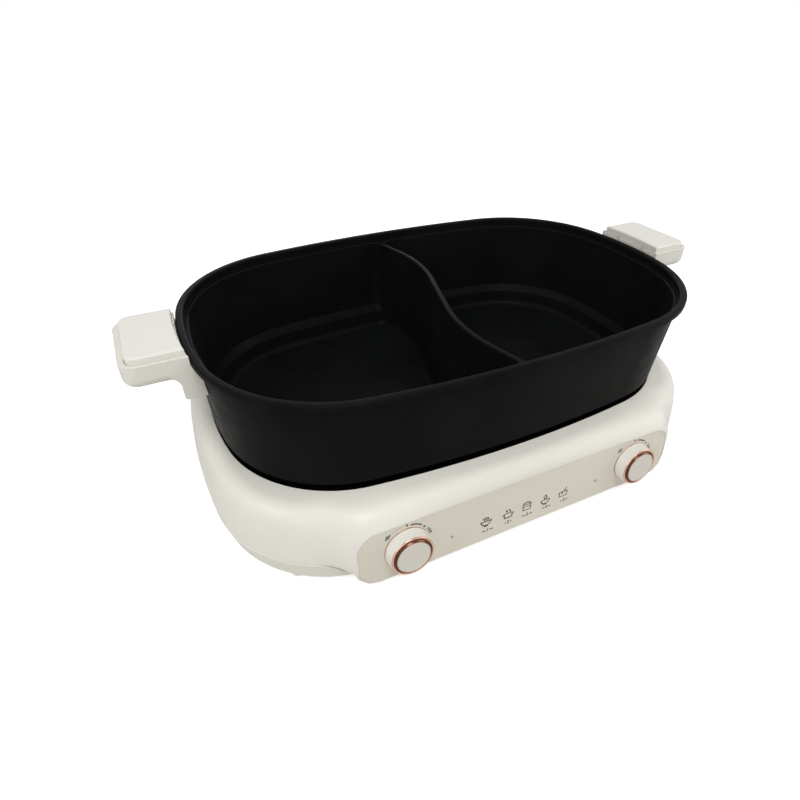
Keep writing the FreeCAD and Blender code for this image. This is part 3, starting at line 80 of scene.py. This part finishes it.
class Graph:
    """A material with its Principled shader and short calls for the nodes that feed it."""

    def __init__(self, name):
        self.material = bpy.data.materials.new(name)
        self.material.use_nodes = True
        self.tree = self.material.node_tree
        self.shader = self.tree.nodes["Principled BSDF"]
        self.place = self.node("ShaderNodeTexCoord").outputs["Object"]

    def node(self, kind, **values):
        made = self.tree.nodes.new(kind)
        for name, value in values.items():
            setattr(made, name, value)
        return made

    def join(self, source, target):
        self.tree.links.new(source, target)

    def stretched(self, scale):
        """The place with each axis scaled on its own, for textures drawn out into lines."""
        mapping = self.node("ShaderNodeMapping")
        mapping.inputs["Scale"].default_value = scale
        self.join(self.place, mapping.inputs["Vector"])
        return mapping.outputs["Vector"]

    def noise(self, scale, detail=2, place=None):
        made = self.node("ShaderNodeTexNoise")
        made.inputs["Scale"].default_value = scale
        made.inputs["Detail"].default_value = detail
        self.join(place or self.place, made.inputs["Vector"])
        return made.outputs["Fac"]

    def cells(self, scale):
        made = self.node("ShaderNodeTexVoronoi")
        made.inputs["Scale"].default_value = scale
        self.join(self.place, made.inputs["Vector"])
        return made.outputs["Distance"]

    def ramp(self, source, *stops):
        """A value turned into a colour by stops of (value, colour)."""
        made = self.node("ShaderNodeValToRGB")
        elements = made.color_ramp.elements
        while len(elements) < len(stops):
            elements.new(0.5)
        for element, (position, colour) in zip(elements, stops):
            element.position = position
            element.color = colour
        self.join(source, made.inputs["Fac"])
        return made.outputs["Color"]

    def shades(self, noise, colour, darkest, lightest):
        """A colour that a noise varies between two factors of it."""
        return self.ramp(noise, (NOISE_LOW, tinted(colour, darkest)), (NOISE_HIGH, tinted(colour, lightest)))

    def span(self, noise, low, high):
        """A number that a noise varies between low and high."""
        made = self.node("ShaderNodeMapRange")
        limits = {"From Min": NOISE_LOW, "From Max": NOISE_HIGH, "To Min": low, "To Max": high}
        for name, value in limits.items():
            made.inputs[name].default_value = value
        self.join(noise, made.inputs["Value"])
        return made.outputs["Result"]

    def blend(self, kind, factor, first, second):
        """Two colours mixed. The node has sockets of several types under a name: only one is enabled."""
        made = self.node("ShaderNodeMix", data_type="RGBA", blend_type=kind)
        sockets = {socket.name: socket for socket in made.inputs if socket.enabled}
        sockets["Factor"].default_value = factor
        self.join(first, sockets["A"])
        self.join(second, sockets["B"])
        return [socket for socket in made.outputs if socket.enabled][0]

    def relief(self, *layers):
        """Stacks bumps, each a (height, strength, depth in metres)."""
        normal = None
        for height, strength, depth in layers:
            bump = self.node("ShaderNodeBump")
            bump.inputs["Strength"].default_value = strength
            bump.inputs["Distance"].default_value = depth
            self.join(height, bump.inputs["Height"])
            if normal is not None:
                self.join(normal, bump.inputs["Normal"])
            normal = bump.outputs["Normal"]
        self.feed("Normal", normal)

    def constant(self, name, value):
        self.shader.inputs[name].default_value = value

    def feed(self, name, source):
        self.join(source, self.shader.inputs[name])


# ---------------------------------------------------------------- materials

# A noise's scale is about how many of its waves fit in a metre.


def moulded(name, colour, rough=0.42, grain=1900, bump=0.12, speckle=0.02, cloud=0.015, gloss=0.4):
    """Injection-moulded plastic: faint clouding, fine spark-eroded grain and uneven gloss."""
    graph = Graph(name)
    clouds = graph.noise(scale=14, detail=3)
    sparks = graph.noise(scale=grain)
    patches = graph.noise(scale=60, detail=4)
    waves = graph.noise(scale=120)
    base = graph.shades(clouds, colour, 1 - cloud, 1 + cloud)
    flecks = graph.ramp(sparks, (0.35, grey(1 - 2 * speckle)), (0.6, grey(1)))
    graph.feed("Base Color", graph.blend("MULTIPLY", 1.0, base, flecks))
    graph.feed("Roughness", graph.span(patches, rough - 0.05, rough + 0.06))
    graph.relief((sparks, bump, 0.12 * MM), (waves, 0.05, 0.4 * MM))
    graph.constant("Specular IOR Level", gloss)
    return graph.material


def coated_cast(name, colour, rough=0.38, gloss=0.04):
    """Non-stick coating over cast aluminium: matt black with sparse flecks and a slight orange peel."""
    graph = Graph(name)
    clouds = graph.noise(scale=22, detail=4)
    patches = graph.noise(scale=90, detail=4)
    thinning = graph.noise(scale=420, detail=1)
    grain = graph.noise(scale=900)
    peel = graph.noise(scale=160)
    base = graph.shades(clouds, colour, 0.8, 1.25)
    dots = graph.ramp(graph.cells(scale=1500), (0.0, linear(38, 41, 39)), (0.16, grey(0)))
    sparse = graph.ramp(thinning, (0.52, grey(0)), (0.6, grey(1)))
    flecks = graph.blend("MULTIPLY", 1.0, dots, sparse)
    graph.feed("Base Color", graph.blend("ADD", 0.55, base, flecks))
    graph.feed("Roughness", graph.span(patches, rough - 0.06, rough + 0.08))
    graph.relief((grain, 0.16, 0.2 * MM), (peel, 0.1, 0.4 * MM))
    graph.constant("Specular IOR Level", gloss)
    return graph.material


def metal(name, colour, rough, brush=(40, 2500, 2500), bump=0.04):
    """Metal with fine draw lines, long along the axis with the smallest scale, and a few softer patches."""
    graph = Graph(name)
    lines = graph.noise(scale=1, detail=3, place=graph.stretched(brush))
    patches = graph.noise(scale=240, detail=3)
    graph.feed("Base Color", graph.shades(lines, colour, 0.88, 1.08))
    graph.feed("Roughness", graph.span(patches, rough * 0.8, rough * 1.3))
    graph.relief((lines, bump, 0.1 * MM))
    graph.constant("Metallic", 1.0)
    return graph.material


def plated(name, colour, rough=0.13):
    """Polished plating: a little waviness, and tiny pits that soften the shine."""
    graph = Graph(name)
    waves = graph.noise(scale=260)
    clouds = graph.noise(scale=420, detail=3)
    pits = graph.noise(scale=900, detail=3)
    graph.feed("Base Color", graph.shades(clouds, colour, 0.93, 1.05))
    graph.feed("Roughness", graph.span(pits, rough * 0.7, rough * 1.5))
    graph.relief((waves, 0.12, 0.5 * MM))
    graph.constant("Metallic", 1.0)
    return graph.material


def rubber(name, colour):
    """Dull rubber with dusty clouds and a coarse grain."""
    graph = Graph(name)
    clouds = graph.noise(scale=300, detail=4)
    patches = graph.noise(scale=80, detail=3)
    grain = graph.noise(scale=1400, detail=3)
    graph.feed("Base Color", graph.shades(clouds, colour, 0.75, 1.3))
    graph.feed("Roughness", graph.span(patches, 0.7, 0.9))
    graph.relief((grain, 0.3, 0.2 * MM))
    return graph.material


def printed(name, colour):
    """Screen-printed ink: slightly uneven and a little glossier than the strip under it."""
    graph = Graph(name)
    screen_marks = graph.noise(scale=2500)
    patches = graph.noise(scale=700)
    graph.feed("Base Color", graph.shades(screen_marks, colour, 0.8, 1.35))
    graph.feed("Roughness", graph.span(patches, 0.4, 0.55))
    return graph.material


# Every material slot of the record: how it is made, its sRGB colour and what differs from that make's usual.
LOOKS = {
    "shell_cream": (moulded, (228, 225, 216), dict(rough=0.38)),
    "lower_shell_cream": (moulded, (225, 222, 212), dict(rough=0.42)),
    "panel_cream": (moulded, (217, 212, 198), dict(rough=0.55, grain=1300, bump=0.25, speckle=0.035)),
    "tray_black": (coated_cast, (14, 14, 14), dict(rough=0.36, gloss=0.06)),
    "inlet_black": (moulded, (26, 26, 27), dict(rough=0.5, speckle=0.1, cloud=0.1)),
    "screw_steel": (metal, (170, 170, 172), dict(rough=0.3)),
    "pot_black": (coated_cast, (16, 18, 17), dict(gloss=0.022)),
    "foot_rubber": (rubber, (52, 52, 51), {}),
    "thermostat_black": (moulded, (34, 33, 32), dict(rough=0.5, speckle=0.1, cloud=0.1)),
    "brass_nut": (metal, (205, 172, 106), dict(rough=0.3)),
    "rose_gold": (plated, (220, 176, 157), {}),
    "knob_cream": (moulded, (229, 226, 217), dict(rough=0.36)),
    "cap_cream": (moulded, (211, 207, 196), dict(rough=0.34, bump=0.06)),
    "shaft_steel": (metal, (178, 178, 180), dict(rough=0.25)),
    "lens_smoke": (moulded, (172, 156, 145), dict(rough=0.15, gloss=0.5)),
    "lamp_clear": (moulded, (214, 128, 76), dict(rough=0.2, gloss=0.5)),
    "plate_aluminium": (metal, (96, 96, 97), dict(rough=0.5, brush=(300, 300, 300), bump=0.2)),
    "handle_cream": (moulded, (222, 219, 210), dict(rough=0.5, grain=1500, bump=0.2)),
    "cover_cream": (moulded, (228, 226, 218), dict(rough=0.45, grain=1500, bump=0.16)),
}
MATERIALS = {name: make(name, linear(*colour), **changes) for name, (make, colour, changes) in LOOKS.items()}
# A darker plating for the steep wall round each knob cap: a painted dark reflection, not a different metal.
PAINTED_REFLECTION_BRONZE = plated("painted_dark_reflection", linear(92, 62, 49), rough=0.22)
INK = printed("print_ink", linear(44, 40, 36))
INK_SOFT = printed("print_ink_soft", linear(158, 153, 140))

for entry in frame["record"]["subparts"]:
    node_materials = NODES[entry["node"]].data.materials
    node_materials.clear()
    node_materials.append(MATERIALS[entry["material_slot"]])

# ---------------------------------------------------------------- eased ends of the panel's boss

# The loft of the upper shell leaves a faint fold at each end of the boss behind the control strip. The
# surface stays as it is, and its shading normals are averaged there. All lengths are in millimetres.

# How far to either side and how far forward the easing goes, each with the width of its fade.
EASE_INNER, EASE_INNER_FADE = 94, 10
EASE_OUTER, EASE_OUTER_FADE = 168, 12
EASE_FRONT, EASE_FRONT_FADE = 104, 8
# The mean takes normals within this reach that lean less than the turn away.
EASE_REACH = 15
EASE_TURN = math.cos(math.radians(48))
# Longer edges are halved, up to so many times.
EASE_EDGE = 4
EASE_SPLITS = 5
# Normals of one vertex that agree to this many parts of a unit count as one.
NORMAL_PARTS = 100
# The attribute that carries the normals through the splitting, and the least length to divide by.
KEPT = "kept_normal"
TINY = 1e-9


def ease_share(point):
    """How much of the easing a point of the upper shell gets: all about the boss's ends, none elsewhere."""
    along, forward = abs(point[0]) / MM, -point[1] / MM
    share = min((along - EASE_INNER) / EASE_INNER_FADE, (EASE_OUTER - along) / EASE_OUTER_FADE,
                (forward - EASE_FRONT) / EASE_FRONT_FADE)
    share = max(0.0, min(1.0, share))
    return share * share * (3 - 2 * share)


def column(rows, name, width=1, kind=np.float32):
    """One property of all rows of a Blender collection, as an array."""
    values = np.empty(len(rows) * width, kind)
    rows.foreach_get(name, values)
    return values.reshape(-1, width) if width > 1 else values


def split_long_edges(mesh):
    """Splits the long edges where the shell is eased, so that there are vertices for the light to turn at."""
    work = bmesh.new()
    work.from_mesh(mesh)
    for _ in range(EASE_SPLITS):
        long_edges = [edge for edge in work.edges if edge.calc_length() > EASE_EDGE * MM
                      and max(ease_share(vertex.co) for vertex in edge.verts) > 0]
        bmesh.ops.subdivide_edges(work, edges=long_edges, cuts=1)
        bmesh.ops.triangulate(work, faces=[face for face in work.faces if len(face.verts) > 3])
    work.to_mesh(mesh)
    work.free()
    mesh.validate(clean_customdata=False)


def eased_normals(mesh, normals):
    """The normals of a mesh's corners, each turned towards the mean about it as far as ease_share says.
    Corners of one vertex with nearly the same normal are one group, weighted by its faces' area."""
    corner_vertex = column(mesh.loops, "vertex_index", kind=np.int32)
    corner_area = np.repeat(column(mesh.polygons, "area"), column(mesh.polygons, "loop_total", kind=np.int32))
    keys = np.column_stack((corner_vertex, np.rint(normals * NORMAL_PARTS).astype(int)))
    _, first, group = np.unique(keys, axis=0, return_index=True, return_inverse=True)
    group = group.ravel()
    areas = np.bincount(group, weights=corner_area)
    places = column(mesh.vertices, "co", 3)[corner_vertex[first]]
    kept = normals[first]

    reach = EASE_REACH * MM
    margin = reach + 1 * MM
    beside = np.abs(places[:, 0]) > EASE_INNER * MM - margin
    ahead = -places[:, 1] > EASE_FRONT * MM - margin
    tree = KDTree(len(first))
    for row in np.flatnonzero(beside & ahead):
        tree.insert(places[row], row)
    tree.balance()

    eased = np.full(kept.shape, np.nan)
    for row in np.flatnonzero(beside & ahead):
        share = ease_share(places[row])
        if share == 0:
            continue
        _, near, gaps = zip(*tree.find_range(places[row], reach))
        near = list(near)
        weights = (1 - (np.array(gaps) / reach) ** 2) ** 2 * areas[near]
        weights *= kept[near] @ kept[row] > EASE_TURN
        mean = weights @ kept[near]
        mixed = kept[row] * (1 - share) + mean / max(np.linalg.norm(mean), TINY) * share
        eased[row] = mixed / np.linalg.norm(mixed)
    return np.where(np.isnan(eased[group]), normals, eased[group])


def eased_shell():
    """The upper shell with the light running smoothly over the fold at each end of the panel's boss."""
    mesh = NODES["base_upper_shell"].data.copy()
    mesh.name = "base_shell_eased"
    before = mesh.attributes.new(KEPT, "FLOAT_VECTOR", "CORNER")
    before.data.foreach_set("vector", column(mesh.corner_normals, "vector", 3).ravel())
    split_long_edges(mesh)
    normals = column(mesh.attributes[KEPT].data, "vector", 3)
    normals /= np.maximum(np.linalg.norm(normals, axis=1, keepdims=True), TINY)
    mesh.attributes.remove(mesh.attributes[KEPT])
    mesh.normals_split_custom_set(eased_normals(mesh, normals).tolist())
    made = new_object("base_shell_eased", mesh)
    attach(made, "base")
    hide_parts("base_upper_shell")


eased_shell()

# ---------------------------------------------------------------- turned pieces of the knobs

KNOB_JOINT = next(joint for joint in frame["joints"] if joint["child"] == "knob_right")
KNOB_SPACING = KNOB_JOINT["pos_m"][0] / MM
PANEL_TILT = math.atan2(-KNOB_JOINT["axis"][2], KNOB_JOINT["axis"][1])
# The control strip's own frame, with its origin midway between the knobs: X along it, Y up it, Z out of it.
PANEL = (Matrix.Translation((0, *KNOB_JOINT["pos_m"][1:]))
         @ Matrix.Rotation(math.pi / 2 - PANEL_TILT, 4, "X"))
SIDES = {"left": -1, "right": 1}
TURNS = 128
SHARP = math.radians(50)
# The most that an ease takes of each edge beside its corner.
EASE_LIMIT = 0.49

# The radii and heights over the strip that the profiles share, in millimetres.
SHAFT_HOLE = 3.3
HUB = 5.0
RECESS = 13.0
SKIRT_TOP = 15.6
HUB_FOOT = 0.9
SKIRT_FOOT = 0.5
WEB_UNDER = 6.2
WEB_TOP = 8.0
BARREL_TOP = 8.6
CAP_TOP = 10.6
# Closed profiles of (radius, height, ease) corners in millimetres.
BARREL = [
    (SHAFT_HOLE, WEB_UNDER, 0), (SHAFT_HOLE, HUB_FOOT, 0.2), (HUB, HUB_FOOT, 0.2), (HUB, WEB_UNDER, 0.3),
    (13.9, WEB_UNDER, 0.5), (14.5, SKIRT_FOOT, 0.2), (16.4, SKIRT_FOOT, 0.25), (SKIRT_TOP, BARREL_TOP, 0),
    (RECESS, BARREL_TOP, 0), (RECESS, WEB_TOP, 0), (SHAFT_HOLE, WEB_TOP, 0),
]
RING = [
    (11.9, 8.1, 0), (RECESS, 8.1, 0), (RECESS, 8.65, 0), (SKIRT_TOP, 8.65, 0.2), (15.45, 9.3, 0.5),
    (14.4, 9.4, 0.5), (13.5, 8.85, 0.5), (12.3, 10.5, 0.3), (12.0, 10.45, 0.1), (12.0, 9.0, 0),
]
CAP = [(0, 8.05, 0), (11.85, 8.05, 0), (11.97, 10.56, 0.35), (8.0, CAP_TOP, 3.0), (0, CAP_TOP, 0)]
TRIM = [(13.85, 0, 0), (16.68, 0, 0), (16.64, 0.24, 0.1), (13.9, 0.24, 0.1)]
# The ring's faces with their middle in this range of radii and of heights get a dark material: a painted
# reflection of dark surroundings.
PAINTED_REFLECTION_RADII = (12.2, 14.1)
PAINTED_REFLECTION_HEIGHTS = (8.7, 10.42)


def rounded(corners, steps=5):
    """The points of a closed profile, with each corner rounded by its own ease."""
    points = []
    for i, (radius, height, ease) in enumerate(corners):
        here = Vector((radius, height))
        if not ease:
            points.append(here)
            continue
        before = Vector(corners[i - 1][:2]) - here
        after = Vector(corners[(i + 1) % len(corners)][:2]) - here
        start = here + before.normalized() * min(ease, before.length * EASE_LIMIT)
        end = here + after.normalized() * min(ease, after.length * EASE_LIMIT)
        for step in range(steps + 1):
            t = step / steps
            points.append(start * (1 - t) ** 2 + here * 2 * t * (1 - t) + end * t * t)
    return points


def turned(name, corners, x, slot, body, node):
    """A piece turned about the axis of the knob at x. A point on the axis is one vertex."""
    vertices, rows = [], []
    for radius, height in rounded(corners):
        count = TURNS if radius else 1
        rows.append([len(vertices) + turn % count for turn in range(TURNS)])
        for turn in range(count):
            angle = 2 * math.pi * turn / TURNS
            vertices.append((radius * MM * math.cos(angle), radius * MM * math.sin(angle), height * MM))
    faces = []
    for row, above in zip(rows, rows[1:] + rows[:1]):
        for turn in range(TURNS):
            after = (turn + 1) % TURNS
            face = tuple(dict.fromkeys((row[after], above[after], above[turn], row[turn])))
            if len(face) > 2:
                faces.append(face)
    mesh = bpy.data.meshes.new(name)
    mesh.from_pydata(vertices, [], faces)
    mesh.materials.append(MATERIALS[slot])
    mesh.shade_smooth()
    mesh.set_sharp_from_angle(angle=SHARP)
    made = new_object(name, mesh)
    made.matrix_world = PANEL @ Matrix.Translation((x * MM, 0, 0))
    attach(made, body)
    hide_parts(node)
    return made


def darken_inner_wall(mesh):
    """Gives the steep wall round the cap a second, dark material: a painted reflection of dark surroundings."""
    mesh.materials.append(PAINTED_REFLECTION_BRONZE)
    for face in mesh.polygons:
        middle = face.center / MM
        radius = math.hypot(middle.x, middle.y)
        if PAINTED_REFLECTION_RADII[0] < radius < PAINTED_REFLECTION_RADII[1] and PAINTED_REFLECTION_HEIGHTS[0] < middle.z < PAINTED_REFLECTION_HEIGHTS[1]:
            face.material_index = 1


def turned_knob(side, x):
    knob = "knob_" + side
    turned("knob_body_" + side, BARREL, x, "knob_cream", knob, "knob_barrel_" + side)
    ring = turned("knob_bezel_" + side, RING, x, "rose_gold", knob, "knob_ring_" + side)
    # The steep wall round the cap gets a painted dark reflection.
    darken_inner_wall(ring.data)
    turned("knob_face_" + side, CAP, x, "cap_cream", knob, "knob_cap_" + side)
    turned("knob_collar_" + side, TRIM, x, "rose_gold", "base", "knob_trim_" + side)


for side, sign in SIDES.items():
    turned_knob(side, sign * KNOB_SPACING)

# ---------------------------------------------------------------- print on the control strip

INK_HEIGHT = 0.04 * MM


def on_panel(made, x, v, turn=0.0, flatten=1.0):
    """Puts a flat piece on the strip at x along it and v up it, in millimetres."""
    place = Matrix.Translation((x * MM, v * MM, INK_HEIGHT / 2))
    made.matrix_world = PANEL @ place @ Matrix.Rotation(turn, 4, "Z") @ Matrix.Diagonal((1, 1, flatten, 1))
    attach(made, "base")


def strokes(name, lines, x, v, width, ink=INK):
    """Ink lines about a place on the strip: each a list of points in millimetres."""
    curve = bpy.data.curves.new(name, "CURVE")
    curve.dimensions = "3D"
    curve.bevel_depth = width * MM / 2
    curve.bevel_resolution = 2
    curve.use_fill_caps = True
    for points in lines:
        spline = curve.splines.new("POLY")
        closed = points[0] == points[-1]
        points = points[:-1] if closed else points
        spline.points.add(len(points) - 1)
        for target, (px, py) in zip(spline.points, points):
            target.co = (px * MM, py * MM, 0, 1)
        spline.use_cyclic_u = closed
    curve.materials.append(ink)
    on_panel(new_object(name, curve), x, v, flatten=INK_HEIGHT / (width * MM))


def figure(name, text, x, v, size, turn=0.0, bold=0.1):
    """A printed numeral, centred on its place."""
    font = bpy.data.curves.new(name, "FONT")
    font.body = text
    font.size = size * MM
    font.offset = bold * MM
    font.align_x = "CENTER"
    font.align_y = "CENTER"
    font.extrude = INK_HEIGHT / 2
    font.materials.append(INK)
    on_panel(new_object(name, font), x, v, turn)


def bow(cx, cy, rx, ry, start, end, steps=14):
    """Points along an ellipse, angles in degrees."""
    angles = [math.radians(start + (end - start) * i / steps) for i in range(steps + 1)]
    return [(cx + rx * math.cos(angle), cy + ry * math.sin(angle)) for angle in angles]


def steam(x, low, high, lean=0.45, steps=8):
    """One wave of steam that rises from low to high."""
    return [(x + lean * math.sin(2 * math.pi * i / steps), low + (high - low) * i / steps)
            for i in range(steps + 1)]


def bar(start, end, height):
    """A level line."""
    return [(start, height), (end, height)]


def bowl_sign():
    half, rim, depth = 3.4, 1.0, 3.2
    bowl = [(-half, rim)] + bow(0, rim, half, depth, 180, 360) + [(-half, rim)]
    return [bowl, bar(-1.4, 1.4, -2.9), bar(-4.3, 4.3, rim),
            steam(-1.5, 1.9, 4.0), steam(0.0, 1.9, 4.3), steam(1.5, 1.9, 4.0)]


def pan_sign():
    half, rim, corner, corner_height, ear = 2.8, 1.0, 0.9, -1.6, 0.3
    pan = ([(-half, rim), (-half, corner_height)]
           + bow(corner - half, corner_height, corner, corner, 180, 270, 5)
           + bow(half - corner, corner_height, corner, corner, 270, 360, 5) + [(half, rim), (-half, rim)])
    return [pan, bar(-4.1, -half, ear), bar(half, 4.1, ear), steam(-1.1, 1.9, 4.0), steam(1.1, 1.9, 4.0)]


def steamer_sign():
    tier_half, base_half, low, high, foot = 3.1, 2.7, 0.4, 1.9, -2.4
    tier = [(-tier_half, low), (tier_half, low), (tier_half, high), (-tier_half, high), (-tier_half, low)]
    base = [(-base_half, low), (-base_half, foot), (base_half, foot), (base_half, low)]
    return [tier, base, bow(0, high, 2.8, 1.7, 0, 180), [(0, 3.6), (0, 4.1)]]


def flame_sign():
    half, rim, depth, fire_height = 3.2, 0.3, 3.0, 2.2
    bowl = [(-half, rim)] + bow(0, rim, half, depth, 180, 360) + [(-half, rim)]
    fire = (bow(0, fire_height, 1.1, 1.3, -60, 60, 8) + [(0, 4.4)]
            + bow(0, fire_height, 1.1, 1.3, 120, 240, 8))
    return [fire + [fire[0]], bowl, bar(-1.2, 1.2, -3.3)]


def ladle_sign():
    half, rim, foot, ear = 2.9, 1.2, -2.4, 0.4
    pot = [(-half, rim), (-half, foot), (half, foot), (half, rim), (-half, rim)]
    return [pot, bar(-3.9, -half, ear), bar(half, 3.9, ear), [(0.3, rim), (2.4, 4.2)],
            bow(-0.2, 0.5, 0.8, 0.8, 60, 300, 8)]


SIGN_SCALE = 1.18
SIGN_STROKE = 0.95
NUMBER_ROW = -13.7
NUMBER_SIZE = 4.0
NUMBER_GAP = 1.7  # from a number's middle to its bars
NUMBER_STROKE = 0.9
# Each sign: its name and lines, its place along and up the strip, its number's place along it, and how wide
# the bars beside that number reach.
SIGNS = [
    ("bowl", bowl_sign(), -36.1, -5.9, -34.5, 9.4),
    ("pan", pan_sign(), -17.2, -6.3, -16.8, 6.0),
    ("steamer", steamer_sign(), -0.8, -5.9, 0.1, 9.1),
    ("flame", flame_sign(), 16.0, -6.6, 17.5, 7.6),
    ("ladle", ladle_sign(), 32.6, -6.3, 34.1, 6.8),
]
for order, (name, lines, x, v, number_x, width) in enumerate(SIGNS, start=1):
    strokes("sign_" + name, [[(px * SIGN_SCALE, py * SIGN_SCALE) for px, py in line] for line in lines],
            x, v, SIGN_STROKE)
    figure("number_%d" % order, str(order), number_x, NUMBER_ROW, NUMBER_SIZE)
    bars = [bar(sign * NUMBER_GAP, sign * width / 2, 0) for sign in SIDES.values()]
    strokes("number_bars_%d" % order, bars, number_x, NUMBER_ROW, NUMBER_STROKE)

# The dial print. Angles go clockwise from the top in degrees, radii are in millimetres.
FINE_ARC = (-34, -6, 19.7)
BOLD_ARC = (10, 37, 18.9)
NOUGHT_BARS = [(-50, -46.5, 19.9), (-39.5, -36, 19.9)]
DOT_PLACE = (1.5, 19.2)
DOT_RADIUS = 0.35
ARROW = [(43.8, 17.8), (43.8, 19.0), (48.6, 18.4), (43.8, 17.8)]
# Each figure's text, angle, radius and size.
DIAL_FIGURES = [("0", -43, 19.9, 4.2), ("1", 57.5, 18.6, 3.0), ("0", 64.0, 18.6, 3.0), ("0", 71.5, 18.6, 3.0)]


def around(angle, radius):
    """A point about a knob's centre, with the angle clockwise from the top in degrees."""
    turn = math.radians(angle)
    return radius * math.sin(turn), radius * math.cos(turn)


def sweep_line(start, end, radius, steps=16):
    return [around(start + (end - start) * i / steps, radius) for i in range(steps + 1)]


def knob_scale(side, centre):
    """The dial print: nought at the lowest setting, a rising arc with an arrow, and 100 at the highest."""
    strokes("scale_fine_" + side, [sweep_line(*FINE_ARC)], centre, 0, width=0.35, ink=INK_SOFT)
    strokes("scale_bold_" + side, [sweep_line(*BOLD_ARC)], centre, 0, width=1.0)
    strokes("scale_bars_" + side, [sweep_line(*ends, steps=4) for ends in NOUGHT_BARS], centre, 0, width=1.3)
    x, v = around(*DOT_PLACE)
    dot = bow(0, 0, DOT_RADIUS, DOT_RADIUS, 0, 360, 10)
    strokes("scale_dot_" + side, [dot], centre + x, v, width=1.1)
    arrow = [around(*corner) for corner in ARROW]
    strokes("scale_arrow_" + side, [arrow], centre, 0, width=1.2)
    for order, (text, angle, radius, size) in enumerate(DIAL_FIGURES):
        x, v = around(angle, radius)
        name = "scale_figure_%d_%s" % (order, side)
        figure(name, text, centre + x, v, size, turn=math.radians(-angle), bold=0.2)


for side, sign in SIDES.items():
    knob_scale(side, sign * KNOB_SPACING)

# ---------------------------------------------------------------- floor, lights and camera

FLOOR_COLOUR = (0.83, 0.825, 0.805, 1)
FLOOR_HALF = 6.0
# How brightly the floor glows to the camera near the pot and far from it, and at which distances.
GLOW = {"From Min": 0.35, "From Max": 0.9, "To Min": 0.6, "To Max": 1.0}
WORLD_LEVEL = 0.32
LIGHT_AIM = Vector((0, 0, 0.05))
# Each light's place and diameter in metres, and its power in watts.
LIGHTS = {
    "key": ((-0.15, -0.85, 1.6), 0.9, 14.0),
    "fill_left": ((-1.3, -0.3, 0.9), 1.0, 7.0),
    "fill_right": ((1.35, -0.6, 0.7), 1.0, 6.4),
    "fill_back": ((0.3, 1.5, 0.4), 1.0, 3.6),
}
# The photograph's camera: where it stands in metres, its angles in degrees and its lens in millimetres.
CAMERA_PLACE = (-0.21064, -0.3596, 0.32911)
CAMERA_AZIMUTH = -26.114
CAMERA_ELEVATION = 36.193
CAMERA_ROLL = 0.408
CAMERA_LENS = 25.28
CAMERA_SENSOR = 36.0


def emptied(owner):
    """The calls that add and join nodes in the emptied node tree of a material or a world."""
    owner.use_nodes = True
    owner.node_tree.nodes.clear()
    return owner.node_tree.nodes.new, owner.node_tree.links.new


def floor_material():
    """A matt pale floor whose far part is plain white to the camera."""
    material = bpy.data.materials.new("studio_floor")
    add, join = emptied(material)
    output = add("ShaderNodeOutputMaterial")
    matt = add("ShaderNodeBsdfDiffuse")
    matt.inputs["Color"].default_value = FLOOR_COLOUR
    glow = add("ShaderNodeEmission")
    path = add("ShaderNodeLightPath")
    place = add("ShaderNodeTexCoord")
    distance = add("ShaderNodeVectorMath")
    distance.operation = "LENGTH"
    reach = add("ShaderNodeMapRange")
    for name, value in GLOW.items():
        reach.inputs[name].default_value = value
    share = add("ShaderNodeMath")
    share.operation = "MULTIPLY"
    both = add("ShaderNodeAddShader")
    join(place.outputs["Object"], distance.inputs[0])
    join(distance.outputs["Value"], reach.inputs["Value"])
    join(path.outputs["Is Camera Ray"], share.inputs[0])
    join(reach.outputs["Result"], share.inputs[1])
    join(share.outputs[0], glow.inputs["Strength"])
    join(matt.outputs[0], both.inputs[0])
    join(glow.outputs[0], both.inputs[1])
    join(both.outputs[0], output.inputs["Surface"])
    return material


def make_floor():
    corners = [(x * FLOOR_HALF, y * FLOOR_HALF, 0) for x, y in ((-1, -1), (1, -1), (1, 1), (-1, 1))]
    mesh = bpy.data.meshes.new("studio_floor")
    mesh.from_pydata(corners, [], [(0, 1, 2, 3)])
    mesh.materials.append(floor_material())
    new_object("studio_floor", mesh)


def make_world():
    """Light from all sides. The world is plain white to the camera, in reflections and through glass."""
    world = bpy.data.worlds.new("studio")
    bpy.context.scene.world = world
    add, join = emptied(world)
    output = add("ShaderNodeOutputWorld")
    light = add("ShaderNodeBackground")
    light.inputs["Color"].default_value = grey(1)
    light.inputs["Strength"].default_value = WORLD_LEVEL
    white = add("ShaderNodeBackground")
    white.inputs["Color"].default_value = grey(1)
    path = add("ShaderNodeLightPath")
    seen = path.outputs["Is Camera Ray"]
    for kind in ("Is Glossy Ray", "Is Transmission Ray"):
        either = add("ShaderNodeMath")
        either.operation = "MAXIMUM"
        join(seen, either.inputs[0])
        join(path.outputs[kind], either.inputs[1])
        seen = either.outputs[0]
    mix = add("ShaderNodeMixShader")
    join(seen, mix.inputs["Fac"])
    join(light.outputs[0], mix.inputs[1])
    join(white.outputs[0], mix.inputs[2])
    join(mix.outputs[0], output.inputs["Surface"])


def area_light(name, place, size, power):
    lamp = bpy.data.lights.new(name, "AREA")
    lamp.shape = "DISK"
    lamp.size = size
    lamp.energy = power
    made = new_object(name, lamp)
    made.location = place
    made.rotation_mode = "QUATERNION"
    made.rotation_quaternion = (LIGHT_AIM - Vector(place)).to_track_quat("-Z", "Y")


def make_camera():
    camera = bpy.data.cameras.new("camera")
    camera.sensor_width = CAMERA_SENSOR
    camera.lens = CAMERA_LENS
    camera.clip_start = 0.01
    made = new_object("camera", camera)
    turns = ((CAMERA_AZIMUTH, "Z"), (90 - CAMERA_ELEVATION, "X"), (CAMERA_ROLL, "Z"))
    azimuth, elevation, roll = (Matrix.Rotation(math.radians(angle), 4, axis) for angle, axis in turns)
    made.matrix_world = Matrix.Translation(CAMERA_PLACE) @ azimuth @ elevation @ roll
    bpy.context.scene.camera = made


make_floor()
make_world()
for name, (place, size, power) in LIGHTS.items():
    area_light(name, place, size, power)
make_camera()
bpy.context.scene.view_settings.view_transform = "Standard"
